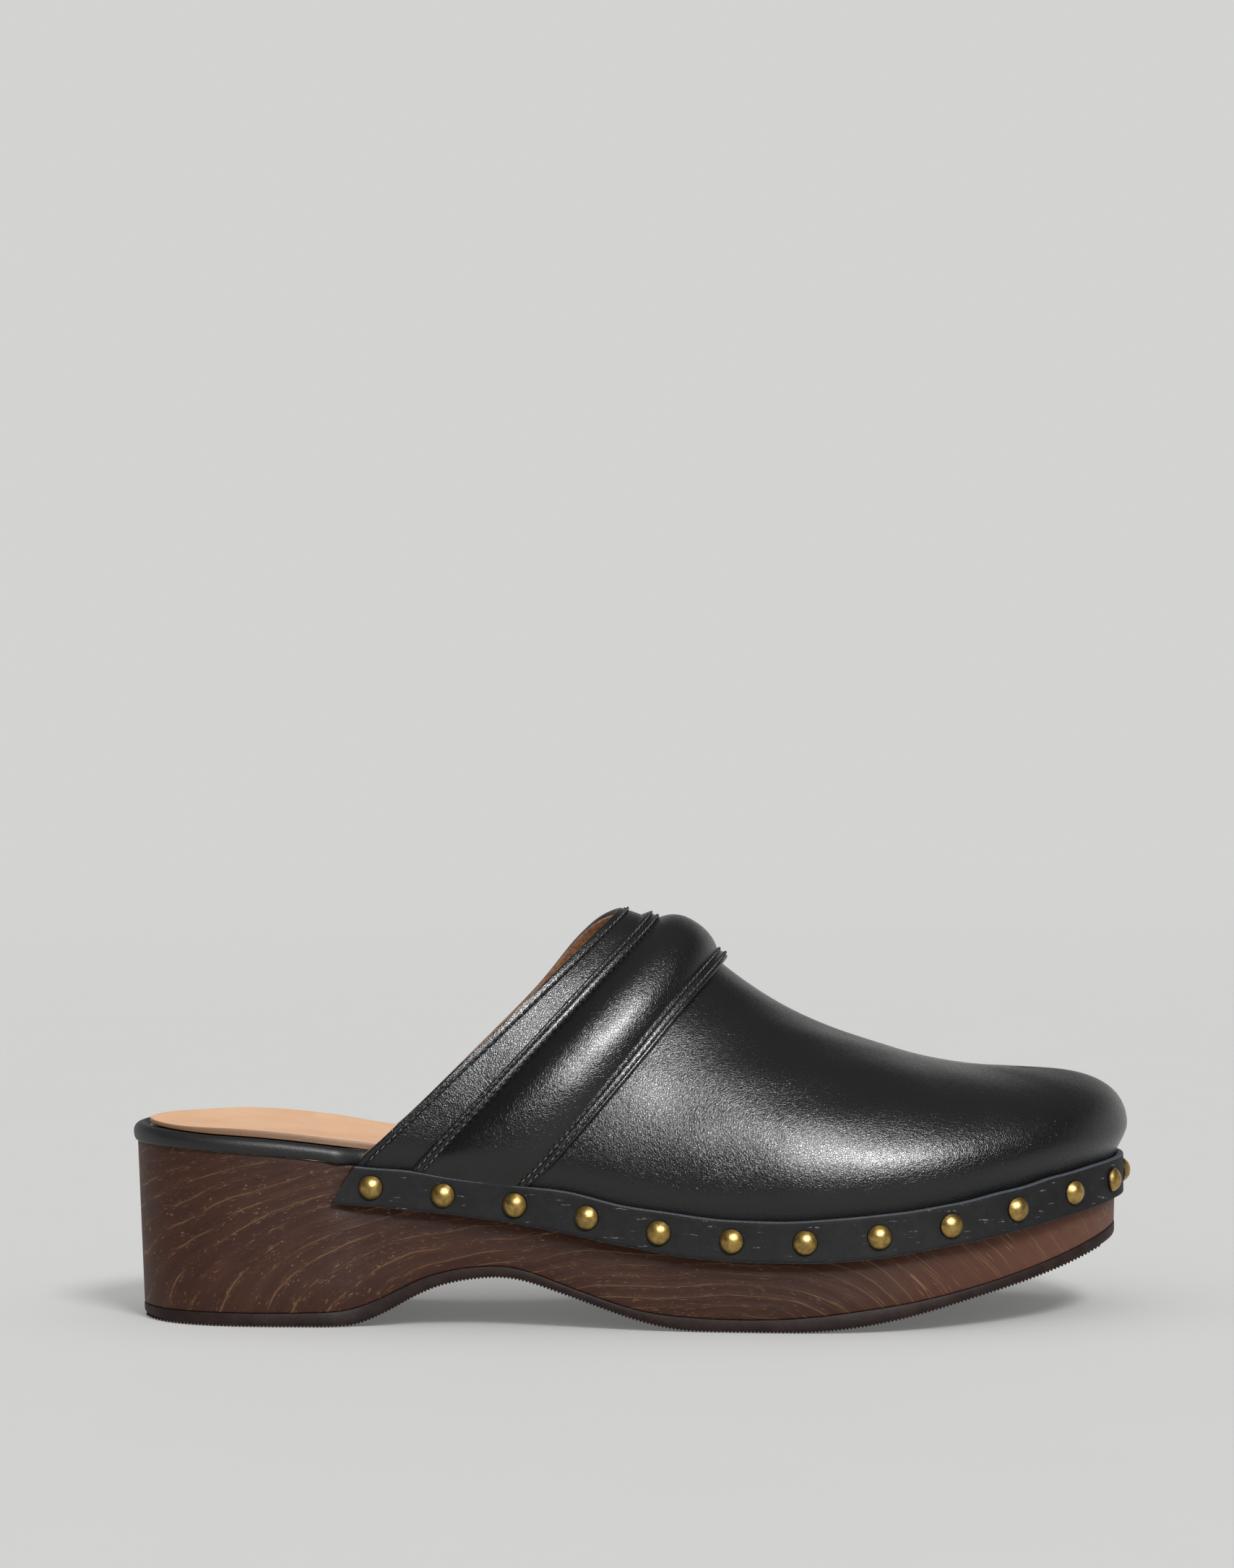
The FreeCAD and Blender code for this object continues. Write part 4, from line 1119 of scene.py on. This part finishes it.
def makeTread():
    x = np.arange(tread["from"], tread["to"], tread["pitch"] * 0.25)
    slope = np.gradient(soleBottom(x), x)
    along = np.concatenate([[0], np.cumsum(np.sqrt(1 + slope[1:] ** 2) * np.diff(x))])
    x = np.interp(np.arange(0, along[-1], tread["pitch"]), along, x)
    ringX, yOut, yIn = ringAt(lambda v: woodOutline(v) + solePlan["taper"] + 0.3, np.linspace(0, 1, 600))
    low, high = np.interp(x, ringX, yOut), np.interp(x, ringX, yIn)
    rear = ease((-118 - x) / 12)
    points = np.column_stack([x, (low + high) / 2, soleBottom(x) + tread["lift"] + 0.2 * rear])
    thing = pathObject("outsoleTread", points, {"width": (high - low - 1.2 * rear) * 0.001,
                                                "slope": np.arctan(np.gradient(soleBottom(x), x))})
    graph, given = makeGroup("treadRibs", [("Rib", "Object", None), ("Rubber", "Material", None)])
    rib = graph.add("GeometryNodeObjectInfo", None, {"Object": given("Rib")}, "Geometry")
    wide = graph.add("GeometryNodeInputNamedAttribute", {"data_type": "FLOAT"}, {"Name": "width"})
    lean = graph.add("GeometryNodeInputNamedAttribute", {"data_type": "FLOAT"}, {"Name": "slope"})
    angle = graph.add("ShaderNodeCombineXYZ", None, {1: lean * -1})
    turn = graph.add("FunctionNodeEulerToRotation", None, {"Euler": angle})
    scale = graph.add("ShaderNodeCombineXYZ", None, {0: 1.0, 1: wide, 2: 1.0})
    placed = graph.add("GeometryNodeInstanceOnPoints", None,
                       {"Points": given("Geometry"), "Instance": rib, "Rotation": turn, "Scale": scale})
    group = finishGroup(graph, placed, given("Rubber"))
    p, d = tread["pitch"] / 2000 * 1.02, tread["depth"] / 1000
    mesh = bpy.data.meshes.new("rib")
    corners = [(-p, 0.1e-3), (-p * 0.25, -d), (p * 0.15, -d), (p, 0.1e-3)]
    mesh.from_pydata([(cx, s, cz) for s in (-0.5, 0.5) for cx, cz in corners], [],
                     [(0, 1, 2, 3), (7, 6, 5, 4), (0, 4, 5, 1), (1, 5, 6, 2), (2, 6, 7, 3), (3, 7, 4, 0)])
    rib = bpy.data.objects.new("rib", mesh)
    bpy.context.scene.collection.objects.link(rib)
    runGroup(thing, group, {"Rib": rib, "Rubber": finishes["rubber"]})
    bpy.data.objects.remove(rib)
    return dress(thing, finishes["rubber"], "outsole_rubber")


makeTread()

for node, finish in (("footbed_core", "foam"), ("toe_puff", "cloth")):
    nodes[node].data.materials.clear()
    nodes[node].data.materials.append(finishes[finish])


# Floor, lights and camera. Angles are in degrees, and places round the clog in metres.
studio = {"floor": (0.58, 0.58, 0.57), "glow": 0.13, "backdrop": (0.655, 0.655, 0.645),
          "dark": (0.05, 0.05, 0.05), "ceiling": 0.22, "size": 40.0,
          "key": 1.40, "keyAngle": 16.0, "keyFrom": (0.50, -0.92, 1.15),
          "fill": 1.26, "fillAngle": 120.0, "fillFrom": (0, -0.3, 1)}
box = {"azimuth": 15.0, "elevation": 39.0, "away": 1.3, "wide": 0.56, "high": 0.19, "power": 38.0}
view = {"azimuth": 2.0, "elevation": 6.3, "roll": -0.5, "away": 1.5, "target": (0, 0.0016, 0.050),
        "lens": 131.955, "sensor": 36.0, "offRight": 0.002765, "offUp": -0.05837}


def makeFloor():
    f = Finish("studioFloor")
    where = f.place()
    speck = f.noise(where, 0.02, 3)
    tone = f.colours(speck, studio["floor"], tuple(c * 1.015 for c in studio["floor"]))
    near = f.add("ShaderNodeBsdfPrincipled", None,
                 {"Base Color": tone, "Roughness": 0.8 + speck * 0.1, "Specular IOR Level": 0.1,
                  "Emission Color": (*studio["backdrop"], 1),
                  "Emission Strength": studio["glow"] / studio["backdrop"][0],
                  "Normal": f.bump(f.noise(where, 0.4, 3) * 0.02)})
    # far off, the floor takes the backdrop's own tone so that no horizon shows, and far in front it is dark
    front = f.between(f.add("ShaderNodeSeparateXYZ", None, {"Vector": where}, 1), -1500, -500)
    farTone = f.colours(front, studio["dark"], studio["backdrop"])
    far = f.add("ShaderNodeEmission", None, {"Color": farTone, "Strength": 1.0})
    reach = f.between(f.add("ShaderNodeVectorMath", {"operation": "LENGTH"}, {0: where}, "Value"), 600, 1800)
    mixed = f.add("ShaderNodeMixShader", None, {0: reach, 1: near, 2: far})
    f.add("ShaderNodeOutputMaterial", None, {"Surface": mixed})
    mesh = bpy.data.meshes.new("floor")
    even = np.linspace(-1, 1, 25)
    stops = even * np.abs(even) * studio["size"]
    row = len(stops)
    firsts = [i * row + j for i in range(row - 1) for j in range(row - 1)]
    mesh.from_pydata([(x, y, 0) for x in stops for y in stops], [],
                     [(a, a + row, a + row + 1, a + 1) for a in firsts])
    mesh.materials.append(f.material)
    floor = bpy.data.objects.new("floor", mesh)
    bpy.context.scene.collection.objects.link(floor)


def makeWorld():
    # a lit backdrop behind the clog, and a dark ceiling and front
    world = bpy.data.worlds.new("studio")
    world.use_nodes = True
    graph = Graph(world.node_tree)
    world.node_tree.nodes.clear()
    direction = graph.add("ShaderNodeTexCoord", out="Generated")
    behind, up = (graph.add("ShaderNodeSeparateXYZ", None, {"Vector": direction}, k) for k in (1, 2))
    smooth = {"interpolation_type": "SMOOTHSTEP"}
    low = graph.add("ShaderNodeMapRange", smooth, {0: up, 1: 0.15, 2: 0.60, 3: 1.0, 4: 0.0})
    back = graph.add("ShaderNodeMapRange", smooth, {0: behind, 1: -0.2, 2: 0.4, 3: 0.0, 4: 1.0})
    high = graph.add("ShaderNodeMapRange", smooth, {0: up, 1: 0.55, 2: 0.85, 3: 0.0, 4: 1.0})
    roof = graph.add("ShaderNodeMix", {"data_type": "RGBA"},
                     {0: high, 6: (*studio["dark"], 1), 7: (*[studio["ceiling"]] * 3, 1)}, 2)
    tone = graph.add("ShaderNodeMix", {"data_type": "RGBA"},
                     {0: low * back, 6: roof, 7: (*studio["backdrop"], 1)}, 2)
    background = graph.add("ShaderNodeBackground", None, {"Color": tone, "Strength": 1.0})
    graph.add("ShaderNodeOutputWorld", None, {"Surface": background})
    bpy.context.scene.world = world


def makeLight(name, kind, place, power, hiddenFrom, **shape):
    light = bpy.data.lights.new(name, kind)
    light.energy = power
    for key, value in shape.items():
        setattr(light, key, value)
    thing = bpy.data.objects.new(name, light)
    thing.location = place
    thing.rotation_mode = "QUATERNION"
    thing.rotation_quaternion = (-Vector(place)).to_track_quat("-Z", "Y")
    setattr(thing, hiddenFrom, False)
    bpy.context.scene.collection.objects.link(thing)


def directionOf(azimuth, elevation):
    # from the clog towards a place round it, with azimuth 0 straight in front
    a, e = math.radians(azimuth), math.radians(elevation)
    return np.array([math.sin(a) * math.cos(e), -math.cos(a) * math.cos(e), math.sin(e)])


def makeCamera():
    roll = math.radians(view["roll"])
    back = directionOf(view["azimuth"], view["elevation"])
    right = unit(np.cross((0, 0, 1), back))
    up = np.cross(back, right)
    right, up = right * math.cos(roll) + up * math.sin(roll), up * math.cos(roll) - right * math.sin(roll)
    # the target stands off the middle of the frame, so the camera looks past it
    offRight, offUp = view["offRight"], view["offUp"]
    target = np.array(view["target"])
    place = target + back * view["away"]
    for _ in range(20):
        forward = unit(target - place)
        look = unit(forward - right * offRight - up * offUp)
        right = unit(right - look * (right @ look))
        up = np.cross(right, look)
        depth = (target - place) @ look
        error = np.array([(target - place) @ right / depth - offRight, (target - place) @ up / depth - offUp])
        if np.abs(error).max() < 1e-7:
            break
        look = unit(look + right * error[0] + up * error[1])
        right = unit(right - look * (right @ look))
        up = np.cross(right, look)
    camera = bpy.data.cameras.new("camera")
    camera.sensor_fit, camera.sensor_width = "AUTO", view["sensor"]
    camera.lens = view["lens"]
    camera.clip_start, camera.clip_end = 0.05, 50
    camera.dof.use_dof = False
    thing = bpy.data.objects.new("camera", camera)
    thing.matrix_world = Matrix([[right[k], up[k], -look[k], place[k]] for k in range(3)] + [[0, 0, 0, 1]])
    bpy.context.scene.collection.objects.link(thing)
    bpy.context.scene.camera = thing


makeFloor()
makeWorld()
# the key light casts the shadows, the fill light softens them, and a long box low in front gives the
# leather and the brass their highlights
makeLight("keyLight", "SUN", studio["keyFrom"], studio["key"], "visible_glossy",
          angle=math.radians(studio["keyAngle"]))
makeLight("fillLight", "SUN", studio["fillFrom"], studio["fill"], "visible_glossy",
          angle=math.radians(studio["fillAngle"]))
makeLight("frontBox", "AREA", box["away"] * directionOf(box["azimuth"], box["elevation"]), box["power"],
          "visible_diffuse", shape="RECTANGLE", size=box["wide"], size_y=box["high"])
bpy.context.scene.view_settings.view_transform = "Standard"
makeCamera()
print("studio ready")
